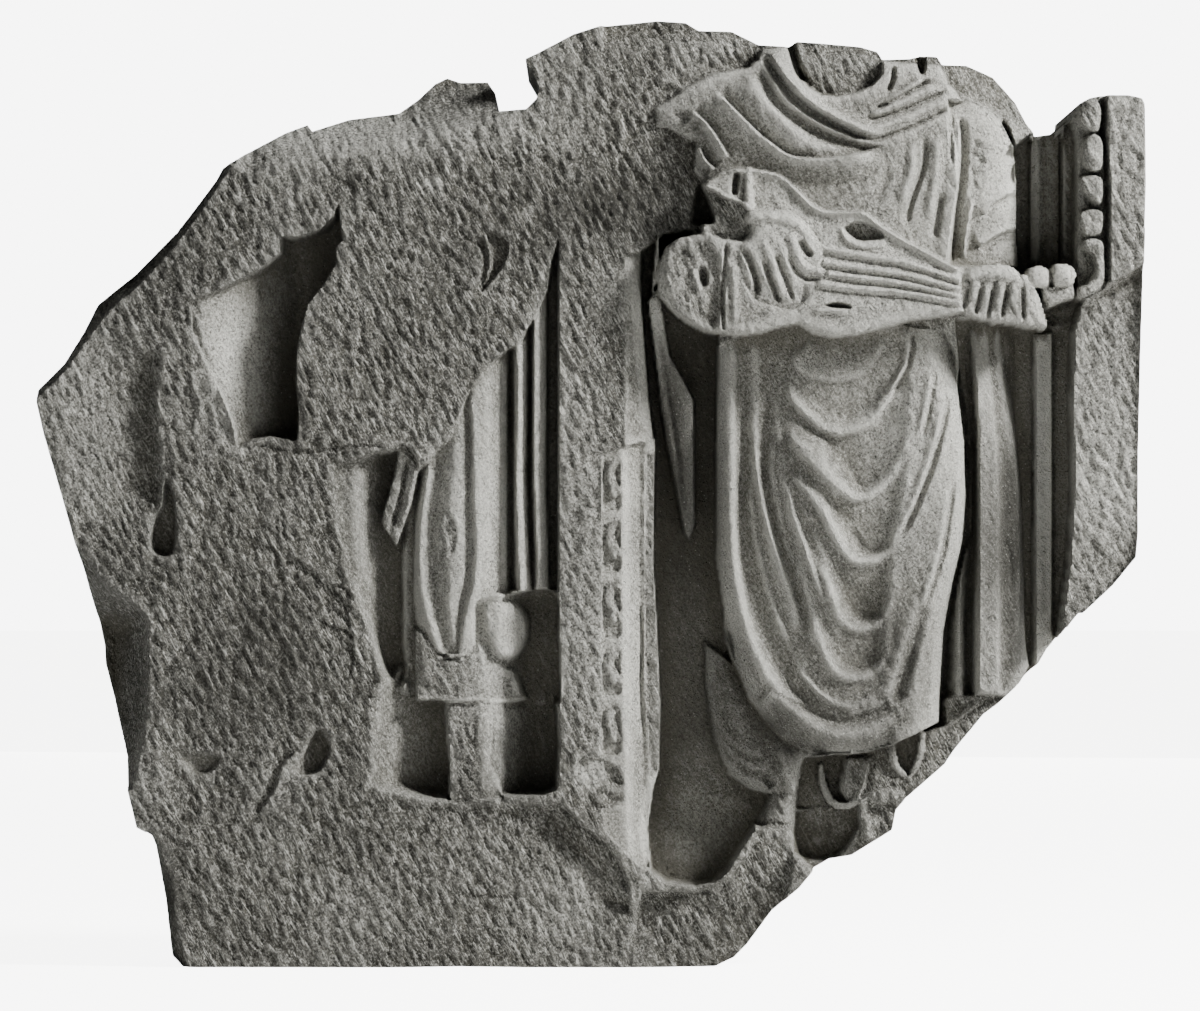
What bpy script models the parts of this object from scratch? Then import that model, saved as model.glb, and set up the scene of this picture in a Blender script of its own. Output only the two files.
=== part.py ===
# Frieze fragment: one block of grey schist with a draped, headless musician carved in relief.
#
# The stone is modelled upright. Z is up, with zero at the dressed underside. The carved face looks
# along -Y and the flat back is at +Y. X runs to the right, with zero at the middle of the width.
#
# Places on the face are in sheet units: x to the right and y down, on a sheet as wide as the stone.
# The stone is SHEET_WIDTH units wide, so the carving is a share of the stone's own width.
# Heights stand above the back plane and are counted in UP. The stone is SHEET_DEPTH times UP deep.

import bmesh
import bpy
import numpy as np

# Driving dimensions, in metres
STONE_WIDTH = 0.4436
STONE_DEPTH = 0.080

# Layout sheet
SHEET_WIDTH = 1109.0
SHEET_CENTRE = 591.5
SHEET_FOOT = 968.0
SHEET_DEPTH = 80.0
UNIT = STONE_WIDTH / SHEET_WIDTH
UP = STONE_DEPTH / SHEET_DEPTH
BACK = STONE_DEPTH / 2
MERGE = UP / 100

# Spacing of the carving grid in sheet units, and the facets kept on the face
GRID = 2.4
FACET_COUNT = 7900

# Finish
SCHIST_GREY = (0.19, 0.19, 0.175, 1.0)
SCHIST_ROUGHNESS = 0.82

OUTLINE = [
    (36, 402), (37, 390), (63, 364), (82, 333), (96, 304), (134, 274), (176, 232), (197, 205), (216, 180),
    (222, 168), (245, 153), (285, 131), (306, 123), (311, 130), (348, 118), (398, 112), (417, 98), (434, 81),
    (446, 75), (459, 80), (487, 80), (495, 92), (497, 111), (526, 109), (536, 99), (540, 90), (536, 78),
    (525, 59), (536, 54), (574, 34), (600, 26), (657, 20), (686, 22), (699, 30), (732, 31), (759, 45),
    (787, 47), (797, 42), (826, 44), (860, 47), (877, 52), (882, 60), (910, 59), (920, 56), (937, 57),
    (942, 65), (967, 65), (994, 76), (1017, 101), (1028, 122), (1038, 134), (1050, 132), (1063, 131),
    (1068, 119), (1077, 116), (1079, 104), (1090, 98), (1101, 96), (1128, 96), (1141, 99), (1145, 107),
    (1145, 184), (1143, 264), (1141, 325), (1138, 459), (1138, 532), (1136, 557), (1113, 585), (1082, 614),
    (1050, 650), (1042, 664), (1000, 704), (985, 715), (956, 750), (946, 765), (906, 800), (897, 811),
    (893, 831), (853, 857), (830, 861), (814, 870), (799, 888), (772, 911), (747, 945), (734, 958),
    (715, 967), (600, 969), (459, 967), (337, 969), (226, 973), (203, 974), (184, 970), (170, 958),
    (165, 903), (155, 846), (151, 836), (136, 828), (127, 790), (125, 758), (111, 712), (99, 666), (98, 647),
    (82, 570), (64, 505), (44, 436),
]


LEDGE = [(222, 160), (231, 164), (252, 174), (275, 165), (360, 150), (440, 132), (500, 118), (524, 108)]

UPPER_LEFT_SIDE = [(30, 404), (60, 376), (90, 336), (112, 308), (142, 282), (176, 244), (196, 218),
                   (233, 164)]

MIDDLE_LEFT_SIDE = [(132, 790), (139, 762), (146, 725), (148, 690), (149, 650), (147, 618), (128, 598),
                    (106, 584), (90, 560), (72, 540)]

LOWER_LEFT_SIDE = [(196, 985), (186, 952), (176, 915), (168, 874), (158, 838), (150, 828)]

LEAF_PANELS = [(458, 513), (520, 574), (581, 640), (650, 698), (705, 757), (765, 792)]


def smooth_path(points, steps=6, closed=False):
    """A polyline through the points, rounded as a Catmull-Rom curve."""
    p = np.asarray(points, float)
    if closed:
        p = np.vstack([p[-1], p, p[0], p[1]])
    else:
        p = np.vstack([2 * p[0] - p[1], p, 2 * p[-1] - p[-2]])
    t = np.arange(steps)[:, None] / steps
    parts = []
    for a, b, c, d in zip(p, p[1:], p[2:], p[3:]):
        parts.append(0.5 * (2 * b + (c - a) * t + (2 * a - 5 * b + 4 * c - d) * t ** 2
                            + (3 * b - 3 * c + d - a) * t ** 3))
    if not closed:
        parts.append(p[-2][None, :])
    return np.vstack(parts)


def ease(t):
    """Smooth step from 0 to 1."""
    t = np.clip(t, 0.0, 1.0)
    return t * t * (3.0 - 2.0 * t)


def measure(x, y, path):
    """Distance to a path, the side of it (+1 on the right of travel) and the share travelled."""
    best = np.full(x.shape, np.inf)
    side = np.ones_like(x)
    along = np.zeros_like(x)
    steps = np.hypot(*np.diff(path, axis=0).T)
    total = max(steps.sum(), 1e-9)
    start = 0.0
    for (x0, y0), (x1, y1), length in zip(path, path[1:], steps):
        if length < 1e-9:
            continue
        dx, dy = (x1 - x0) / length, (y1 - y0) / length
        t = np.clip((x - x0) * dx + (y - y0) * dy, 0.0, length)
        ex, ey = x - x0 - t * dx, y - y0 - t * dy
        far = ex * ex + ey * ey
        near = far < best
        best[near] = far[near]
        side[near] = np.where(dx * ey - dy * ex >= 0, 1.0, -1.0)[near]
        along[near] = ((start + t) / total)[near]
        start += length
    return np.sqrt(best), side, along


def inside(x, y, loop):
    """True where a point lies within a closed loop."""
    within = np.zeros(x.shape, bool)
    for (x0, y0), (x1, y1) in zip(loop, np.roll(loop, -1, axis=0)):
        crosses = (y0 > y) != (y1 > y)
        with np.errstate(divide="ignore", invalid="ignore"):
            at = x0 + (y - y0) * (x1 - x0) / (y1 - y0)
        within ^= crosses & (x < at)
    return within


def lattice_noise(x, y, scale, seed, angle=0.0, stretch=1.0):
    """Smooth value noise between -1 and 1, stretched along an angle."""
    ca, sa = np.cos(angle), np.sin(angle)
    u = (x * ca + y * sa) / (scale * stretch)
    v = (-x * sa + y * ca) / scale
    table = np.random.default_rng(seed).random((256, 256)) * 2.0 - 1.0
    iu, iv = np.floor(u).astype(int), np.floor(v).astype(int)
    fu, fv = ease(u - iu), ease(v - iv)
    a = table[iu % 256, iv % 256]
    b = table[(iu + 1) % 256, iv % 256]
    c = table[iu % 256, (iv + 1) % 256]
    d = table[(iu + 1) % 256, (iv + 1) % 256]
    return (a * (1 - fu) + b * fu) * (1 - fv) + (c * (1 - fu) + d * fu) * fv


class Relief:
    """Height of the stone's face above its back plane, over a grid of sheet units."""

    def __init__(self, xs, ys):
        self.x, self.y = np.meshgrid(xs, ys)
        self.h = np.zeros_like(self.x)
        self.rough = np.ones_like(self.x)
        self.step = (xs[1] - xs[0], ys[1] - ys[0])
        self.low = (xs[0], ys[0])

    def window(self, path, reach):
        """The part of the grid within reach of a path."""
        low = path.min(axis=0) - reach
        high = path.max(axis=0) + reach
        c0, c1 = [int((v - self.low[0]) / self.step[0]) for v in (low[0], high[0])]
        r0, r1 = [int((v - self.low[1]) / self.step[1]) for v in (low[1], high[1])]
        rows, cols = self.x.shape
        return np.s_[max(r0, 0):max(min(r1 + 2, rows), 0), max(c0, 0):max(min(c1 + 2, cols), 0)]

    def shape(self, points, level, crown=0.0, round=10.0, wall=2.0, rough=None, mode="set", curved=True):
        """Lays a form with a steep wall along its outline: a plain level, or one rounded up by a crown."""
        loop = smooth_path(points, 5, closed=True) if curved else np.asarray(points, float)
        part = self.window(loop, 2)
        x, y = self.x[part], self.y[part]
        within = inside(x, y, loop)
        if not within.any():
            return
        depth, _, _ = measure(x, y, np.vstack([loop, loop[:1]]))
        new = level(x, y) if callable(level) else level
        t = np.clip(depth / round, 0.0, 1.0)
        new = new + crown * np.sqrt(1.0 - (1.0 - t) ** 2)
        old = self.h[part]
        if mode == "cut":
            new = np.minimum(new, old)
        weight = ease(depth / max(wall, 1.4 * self.step[0])) * within
        self.h[part] = old + (new - old) * weight
        if rough is not None:
            self.rough[part] += (rough - self.rough[part]) * weight

    def stroke(self, points, height, half, taper=0.15, flat=0.0, rough=None):
        """A rounded ridge, or a groove where the height is negative."""
        path = smooth_path(points)
        part = self.window(path, half + 1)
        far, _, along = measure(self.x[part], self.y[part], path)
        t = np.clip((far - flat * half) / (half * (1.0 - flat)), 0.0, 1.0)
        ends = ease(np.minimum(along, 1.0 - along) / taper) if taper else 1.0
        profile = 0.5 + 0.5 * np.cos(np.pi * t)
        self.h[part] += height * profile * ends
        if rough is not None:
            self.rough[part] += (rough - self.rough[part]) * profile

    def fold(self, points, height, rise, fall, dip=0.0, recover=8.0, taper=0.18, power=1.6):
        """A fold of cloth: a slow rise to the crest on the left of travel, a sharp drop on its right."""
        path = smooth_path(points)
        reach = max(rise, fall + recover) + 1
        part = self.window(path, reach)
        far, side, along = measure(self.x[part], self.y[part], path)
        up = np.clip(1.0 - far / rise, 0.0, 1.0) ** power
        drop = ease(1.0 - far / fall)
        below = ease(far / fall) * (1.0 - ease((far - fall) / recover))
        ends = ease(np.minimum(along, 1.0 - along) / taper) if taper else 1.0
        self.h[part] += np.where(side > 0, height * drop - dip * below, height * up) * ends

    def lean(self, points, rate, reach):
        """Lets the face fall away on the left of a path, at a rate for each sheet unit."""
        path = smooth_path(points)
        part = self.window(path, reach)
        far, side, along = measure(self.x[part], self.y[part], path)
        between = (along > 0.0) & (along < 1.0)
        self.h[part] -= rate * np.minimum(far, reach) * (side < 0) * between

    def tube(self, points, radius, top, rough=None, squash=1.0):
        """A round roll or finger laid on the face; radius and top may change along it."""
        path = smooth_path(points)
        radii = np.atleast_1d(np.asarray(radius, float))
        tops = np.atleast_1d(np.asarray(top, float))
        part = self.window(path, radii.max() + 1)
        far, _, along = measure(self.x[part], self.y[part], path)
        r = np.interp(along, np.linspace(0, 1, len(radii)), radii)
        crest = np.interp(along, np.linspace(0, 1, len(tops)), tops)
        t = np.clip(far / r, 0.0, 1.0)
        roll = crest - squash * r * UNIT * (1.0 - np.sqrt(1.0 - t ** 2))
        old = self.h[part]
        covers = (far < r) & (roll > old)
        self.h[part] = np.where(covers, roll, old)
        if rough is not None:
            self.rough[part] = np.where(covers, rough, self.rough[part])


def carve_field(s):
    """The broken front of the block, and the way it falls off at its edges."""
    x, y = s.x, s.y
    s.h[:] = 62 * UP
    s.h -= 2.0 * UP * ease((260 - x) / 220)
    s.h -= 2.0 * UP * ease((y - 500) / 300) * ease((480 - x) / 200)
    s.h += 1.2 * UP * lattice_noise(x, y, 150, 1) + 0.8 * UP * lattice_noise(x, y, 60, 2, 1.1, 1.8)
    # Ledge along the upper left edge, facing up
    s.lean(LEDGE, 0.5 * UP, 60)
    # Steep sides at the left, facing away from the carving
    s.lean(UPPER_LEFT_SIDE, 0.9 * UP, 30)
    s.lean(MIDDLE_LEFT_SIDE, 1.1 * UP, 40)
    s.lean(LOWER_LEFT_SIDE, 1.0 * UP, 40)
    # Slab below the faint step across the middle stands a little prouder
    s.shape([(190, 470), (210, 452), (297, 452), (345, 446), (405, 446), (400, 520), (372, 560), (352, 610),
             (392, 700), (380, 800), (260, 850), (160, 840), (150, 700), (180, 560)],
            lambda x, y: 61.5 * UP - 1.5 * UP * ease((300 - x) / 120) - 2.5 * UP * ease((y - 640) / 160),
            wall=22, curved=False)
    s.stroke([(235, 452), (262, 446), (297, 453), (345, 447), (400, 446)], -0.9 * UP, 3.5)
    # Valley down the left edge
    s.fold([(152, 330), (146, 385), (148, 440), (152, 490), (160, 530)], -5.5 * UP, 12, 90, 0, 1, 0.25, 1.0)
    s.shape([(165, 476), (176, 498), (177, 540), (170, 557), (155, 556), (148, 545), (152, 520), (160, 505)],
            53 * UP, wall=6, mode="cut", rough=0.7)


def carve_left_recess(s):
    """The deep pocket left in the sheared surface."""
    pocket = [(338, 200), (343, 240), (336, 247), (337, 262), (323, 285), (308, 304), (302, 325), (297, 350),
              (296, 382), (299, 413), (297, 441), (270, 437), (252, 441), (237, 449), (233, 424), (220, 392),
              (203, 360), (190, 330), (190, 300), (220, 289), (260, 268), (279, 253), (280, 236), (296, 237),
              (319, 230), (334, 216)]

    def floor(x, y):
        middle = 46.4 + 6.1 * np.clip((y - 300) / 140, -0.3, 1)
        near = np.clip((253 - x) / 52, 0, 1)
        far = np.clip((x - 253) / 40, 0, 1)
        return (middle + (59 - middle) * near - 13 * far) * UP + 0.4 * UP * lattice_noise(x, y, 30, 7)
    s.shape(pocket, floor, wall=3.0, rough=0.3, curved=False)
    s.stroke([(194, 302), (204, 345), (222, 392), (234, 426), (238, 446)], 0.8 * UP, 7, rough=0.9)


def carve_left_figure(s):
    """What is left of the draped figure beside the pilaster."""
    # Smooth ground left of the sleeve, falling away to the right
    s.shape([(330, 470), (350, 458), (395, 448), (412, 460), (416, 560), (414, 660), (400, 690), (380, 672),
             (360, 610), (342, 560)], lambda x, y: 59 * UP - 16 * UP * ease((x - 352) / 44), wall=10,
             rough=0.5,
            mode="cut")
    s.shape([(424, 462), (404, 480), (397, 560), (397, 640), (404, 703), (450, 703), (450, 474)], 49 * UP,
            wall=8, rough=0.4, curved=False)
    drapery = [
        [(422, 440, 52), (417, 480, 51), (412, 520, 51), (410, 600, 51), (418, 656, 53)],
        [(434, 440, 58.5), (430, 462, 58.8), (426, 490, 58.8), (421, 530, 58.6), (420, 570, 58.6),
         (424, 600, 58.8), (432, 628, 59), (440, 656, 58)],
        [(440, 440, 58), (439, 462, 57.4), (435, 500, 56.8), (432, 540, 56.6), (433, 570, 56.8),
         (436, 600, 56.8), (442, 630, 56.6), (447, 656, 56.8)],
        [(449, 430, 60), (446, 462, 59.8), (441, 500, 59.2), (438, 540, 59.2), (440, 570, 59),
         (443, 600, 58.6), (447, 630, 57.5), (450, 656, 56)],
        [(457, 420, 61.2), (455, 470, 61.6), (453, 520, 61.8), (452, 560, 61.2), (451, 600, 60.2),
         (452, 630, 59), (454, 656, 57)],
        [(463, 395, 60), (464.5, 440, 60.8), (464.5, 500, 60.8), (465, 540, 60.4), (463, 580, 59.8),
         (458, 605, 59), (456, 640, 58), (455.2, 656, 57.4)],
        [(466.5, 395, 58.8), (468, 440, 58.8), (468, 500, 58.6), (469, 540, 58.2), (467, 580, 57.6),
         (461, 605, 57), (457.4, 640, 57), (455.8, 656, 57)],
        [(471, 385, 61.5), (474, 440, 62.5), (475, 500, 62.5), (477, 540, 62), (475, 580, 61.5),
         (469, 605, 61), (463, 630, 60), (459, 656, 58)],
        [(485, 370, 60.6), (486, 440, 61), (486, 500, 60.8), (487, 540, 60.2), (484, 590, 59.6),
         (479, 620, 59), (476, 656, 58)],
        [(495, 358, 57), (496, 440, 57), (495, 500, 57), (495, 540, 56.4), (494, 590, 55.6), (486, 620, 55),
         (481, 656, 54.6)],
        [(505, 350, 53), (506, 440, 52.6), (506, 500, 52.6), (506, 560, 52), (506, 600, 50), (500, 656, 50)],
    ]
    s.shape([(506, 350), (496, 358), (484, 369), (471, 385), (466, 397), (458, 416), (448, 438), (434, 452),
             (420, 470), (413, 520), (411, 600), (418, 650), (440, 656), (478, 658), (498, 640), (512, 600),
             (515, 480), (514, 346)], cloth_over(drapery), wall=2.5, rough=0.38, curved=False)
    s.shape([(438, 514), (450, 512), (459, 530), (455, 555), (444, 566), (436, 545)],
            lambda x, y: 60.5 * UP + 0.6 * UP * lattice_noise(x, y, 12, 17), wall=6, rough=1.0, mode="cut")
    # Standing folds beside the pilaster
    folds = [
        [(505, 340, 52.6), (506, 440, 52.6), (506, 595, 51)],
        [(509.5, 335, 45), (510, 440, 45), (511, 595, 45)],
        [(517, 330, 58.5), (517.5, 400, 59), (517, 480, 59), (518, 540, 58.6), (521, 595, 58)],
        [(525.5, 315, 55.5), (526, 400, 55), (525, 480, 55), (527.5, 540, 54.5), (530, 595, 54)],
        [(529.5, 310, 46), (529, 400, 45), (529, 480, 45), (530.5, 540, 45), (532.5, 595, 45)],
        [(535, 300, 59.5), (535, 400, 59.5), (535, 480, 59), (537, 540, 58.5), (538, 595, 58)],
        [(544.5, 285, 55.5), (545, 400, 54.5), (544, 480, 54.5), (546.5, 540, 54), (548, 595, 53.5)],
        [(549, 262, 42), (549, 400, 41), (549, 480, 41), (550.5, 595, 41)],
        [(558, 240, 40), (558, 400, 40), (558, 595, 40)],
    ]
    s.shape([(559, 236), (551, 262), (547, 290), (529, 325), (516, 345), (506, 350), (506, 592), (559, 592)],
            cloth_over(folds), wall=1.5, rough=0.4, curved=False)
    # Hanging sleeve tongue
    sleeve = [(399, 444), (412, 450), (419, 468), (414, 500), (406, 524), (397, 547), (389, 538), (380, 522),
              (385, 500), (392, 475)]
    s.shape(sleeve, lambda x, y: 58 * UP - 2 * UP * ease((y - 480) / 60), crown=1.6 * UP, round=8, wall=2,
            rough=0.85)
    s.stroke([(408, 455), (401, 492), (391, 530)], -2.4 * UP, 4)
    s.stroke([(416, 462), (410, 495), (400, 530)], 1.0 * UP, 4)
    # Pockets on both sides of the leg's stump
    s.shape([(466, 690), (558, 690), (561, 745), (558, 790), (545, 796), (520, 797), (480, 800), (466, 765)],
            lambda x, y: 55 * UP - 23 * UP * ease((x - 490) / 48), wall=6, rough=0.5, curved=False)
    s.shape([(396, 662), (378, 684), (371, 716), (368, 768), (374, 790), (470, 797), (470, 690), (414, 690),
             (408, 668)], lambda x, y: 58 * UP - 17 * UP * ease((x - 366) / 74)
            - 3 * UP * ease((y - 700) / 80), wall=14, rough=0.5)
    # Soft ground under the ends of the folds
    s.shape([(476, 600), (516, 591), (557, 591), (560, 640), (560, 704), (440, 704), (440, 664), (470, 650)],
            lambda x, y: 33 * UP + 22 * UP * ease((530 - x) / 40) + 10 * UP * ease((612 - y) / 24), wall=4,
            rough=0.4)
    # Smooth strip and broken patch below the knee
    s.shape([(478, 640), (486, 650), (497, 664), (514, 668), (524, 690), (522, 704), (450, 704), (460, 684),
             (464, 660)], lambda x, y: 56.5 * UP - 9 * UP * ease((x - 480) / 40), wall=6, rough=0.4)
    # Rounded end of the leg's drapery
    s.shape([(481, 600), (500, 596), (518, 600), (530, 616), (531, 636), (524, 654), (510, 664), (496, 660),
             (487, 646), (480, 624)], lambda x, y: 56.5 * UP - 8.5 * UP * ease((x - 496) / 34),
             crown=1.5 * UP, round=20,
            wall=8, rough=0.4)
    s.stroke([(484, 636), (489, 652), (499, 664), (508, 667)], -1.2 * UP, 4, 0.2)
    s.shape([(413, 627), (428, 634), (438, 652), (450, 656), (474, 654), (476, 668), (468, 688), (458, 702),
             (414, 703)], lambda x, y: 57.5 * UP + 0.8 * UP * lattice_noise(x, y, 15, 18, 1.2, 2), wall=3,
            rough=0.9, curved=False)
    s.stroke([(416, 632), (418, 660), (419, 700)], -1.2 * UP, 4)
    s.stroke([(437, 652), (447, 659), (458, 656)], -1.8 * UP, 3)
    s.stroke([(415, 699), (440, 703), (470, 700), (500, 702), (524, 700)], 2.0 * UP, 5, 0.08)
    # Stump of the leg: broken in front, smooth on its right
    stump = [
        [(441, 704, 44), (444, 740, 42), (448, 790, 44)],
        [(448, 704, 56), (450, 740, 56), (454, 790, 56)],
        [(474, 704, 57), (474, 740, 57), (476, 790, 56.5)],
        [(481, 704, 57.6), (481, 740, 57.4), (483, 790, 57)],
        [(494, 704, 56.2), (493, 740, 55.8), (497, 790, 55.5)],
    ]
    s.shape([(441, 702), (494, 702), (493, 740), (492, 765), (500, 780), (505, 800), (446, 802), (448, 780),
             (444, 740)], cloth_over(stump), wall=2, rough=0.45, curved=False)
    s.shape([(446, 710), (474, 711), (476, 760), (474, 800), (448, 800), (448, 756)],
            lambda x, y: 57 * UP + 0.8 * UP * lattice_noise(x, y, 16, 19, 1.2, 2), wall=2, rough=1.0)
    # Splinter low in the sheared face above
    s.stroke([(478, 236), (486, 262), (478, 296)], -2.2 * UP, 5)
    s.shape([(486, 232), (508, 240), (506, 262), (490, 285), (481, 290), (490, 262)], 58.5 * UP, wall=4,
            mode="cut")


def carve_pilaster(s):
    """The pilaster: a broken face, a column of sunk leaf panels and a fillet."""
    face = [(557, 200), (632, 200), (632, 452), (601, 452), (601, 800), (587, 832), (566, 806), (560, 780),
            (557, 600)]
    s.shape(face, lambda x, y: 62 * UP + 0.8 * UP * lattice_noise(x, y, 45, 11, 1.2, 2), wall=3, curved=False)
    # Right side: a bright bevel, then a broken strip beside the niche
    upper = [
        [(624, 240, 62), (625, 350, 62), (625, 452, 62)],
        [(627, 240, 61), (628, 350, 61), (629, 452, 61)],
        [(634, 240, 57), (642, 350, 56.5), (648, 452, 55)],
        [(638, 240, 52), (650, 350, 51), (660, 452, 50)],
    ]
    s.shape([(624, 252), (640, 252), (644, 310), (650, 393), (657, 452), (624, 452)], cloth_over(upper),
            wall=2, rough=0.5, curved=False)
    lower = [
        [(600, 440, 61), (600, 640, 61), (601, 800, 61)],
        [(621, 440, 61), (622, 640, 61), (626, 800, 61), (630, 872, 60.5)],
        [(624, 440, 60.5), (625, 640, 60.5), (628, 800, 60.5), (632, 872, 60)],
        [(634, 440, 55), (637, 640, 55), (640, 800, 55), (642, 872, 54)],
        [(640, 440, 53.8), (641, 640, 53.6), (645, 800, 53.2), (648, 872, 52)],
        [(646, 440, 54.5), (646, 640, 54.5), (650, 800, 53.5), (652, 872, 52)],
        [(656, 440, 52.5), (658, 640, 52.5), (659, 800, 51), (656, 872, 50)],
    ]
    s.shape([(601, 452), (657, 437), (655, 560), (658, 609), (660, 655), (662, 701), (661, 770), (655, 790),
             (649, 830), (652, 872), (640, 868), (622, 850), (604, 832), (600, 800)], cloth_over(lower),
             wall=1.5,
            rough=0.3, curved=False)
    s.shape([(645, 452), (656, 452), (655, 560), (658, 609), (660, 655), (662, 701), (661, 770), (650, 780),
             (645, 700), (643, 600)], lambda x, y: 53.5 * UP + 0.8 * UP * lattice_noise(x, y, 14, 12, 1.4, 3),
            wall=3, rough=0.9, curved=False)
    s.stroke([(639, 600), (642, 640), (640, 690), (644, 740)], -1.6 * UP, 2.5, 0.2)
    for top, bottom in LEAF_PANELS:
        carve_leaf(s, 602, 621, top, bottom)
    s.shape([(575, 762), (600, 756), (622, 770), (626, 800), (600, 812), (578, 806)],
            lambda x, y: 60.5 * UP + 1.2 * UP * lattice_noise(x, y, 10, 13), wall=5, rough=0.8)


def carve_leaf(s, left, right, top, bottom):
    """One sunk panel with a curled leaf in its upper part and a bud at its tip."""
    tall = bottom - top
    s.shape([(left, top + 4), (right, top), (right + 1, bottom - 6), (right - 3, bottom - 1), (left, bottom)],
            59.6 * UP, wall=2.5, rough=0.3, curved=False)
    s.tube([(right - 1, top + 0.06 * tall), (left + 9, top + 0.14 * tall), (left + 7, top + 0.34 * tall),
            (left + 12, top + 0.52 * tall), (right - 1, top + 0.66 * tall)], [4.5, 6.5, 7, 5.5, 3.5],
           [60.9 * UP, 61.6 * UP, 61.9 * UP, 61.7 * UP, 61.2 * UP], rough=0.8)
    s.tube([(right - 9, top + 0.58 * tall), (right - 7, top + 0.66 * tall)], 3.4, 62 * UP, rough=0.6)
    s.stroke([(right - 3, top + 0.22 * tall), (left + 11, top + 0.3 * tall), (left + 12, top + 0.46 * tall)],
             -0.9 * UP, 3, 0.2)


def carve_niche(s):
    """The sunk ground behind the standing musician."""
    left = [(640, 250), (664, 232), (692, 228), (720, 300), (724, 560), (728, 640), (756, 720), (792, 756),
            (864, 776), (864, 854), (800, 854), (797, 862), (786, 840), (756, 828), (740, 853), (727, 874),
            (716, 883), (697, 888), (667, 885), (650, 873), (640, 815), (646, 770), (647, 655), (644, 560),
            (646, 437), (641, 393), (636, 307)]
    s.shape(left, lambda x, y: 30 * UP + 3 * UP * ease((y - 780) / 90), wall=4, rough=0.35, curved=False)
    right = [(1000, 90), (1026, 124), (1040, 140), (1066, 134), (1084, 118), (1084, 250), (1084, 300),
             (1082, 340), (1080, 600), (1074, 650), (1050, 700), (1020, 740), (985, 760), (956, 790),
             (920, 820), (896, 812), (880, 800), (900, 740), (940, 640), (960, 340), (1010, 300)]
    s.shape(right, lambda x, y: 38 * UP - 6 * UP * ease((x - 1005) / 12), wall=3, rough=0.4, curved=False)
    # Ground under the musician, broken off towards the lower right
    s.shape([(860, 740), (925, 730), (967, 716), (1010, 690), (1020, 740), (990, 780), (946, 800), (920, 840),
             (900, 860), (853, 880), (820, 880), (790, 850), (790, 800), (820, 760)],
            lambda x, y: 42 * UP + 7 * UP * ease((x - 850) / 40) + 1.2 * UP * lattice_noise(x, y, 30, 21),
            wall=4, rough=0.9, curved=False)
    # Upright mouldings at the back of the right recess
    for x0, x1, level in [(1017, 1033, 30), (1033, 1064, 35), (1064, 1084, 38)]:
        s.shape([(x0, 80), (x1, 80), (x1, 300), (x0, 300)], level * UP, wall=2.5, rough=0.25, curved=False)
    s.stroke([(1040, 130), (1040, 300)], 1.2 * UP, 4, 0.0)
    s.stroke([(1048, 130), (1048, 300)], -0.8 * UP, 3, 0.0)
    for x0, x1, level in [(1016, 1037, 29), (1037, 1057, 36), (1057, 1084, 30)]:
        s.shape([(x0, 330), (x1, 330), (x1, 700), (x0, 700)], level * UP, wall=2.5, rough=0.25, curved=False)


def carve_sleeve_tongue(s):
    """Hanging sleeve end between the pilaster and the musician."""
    s.shape([(646, 300), (660, 282), (671, 354), (686, 380), (696, 400), (697, 524), (691, 542), (684, 536),
             (664, 437)], lambda x, y: 52 * UP - 6 * UP * ease((y - 300) / 240), crown=3 * UP, round=8,
             wall=2,
            rough=0.35, curved=False)
    s.stroke([(655, 320), (670, 400), (688, 520)], -1.6 * UP, 4)
    s.shape([(655, 233), (662, 233), (661, 272), (654, 296), (650, 290)], 56 * UP, wall=1.5, rough=0.2,
            curved=False)


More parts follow.
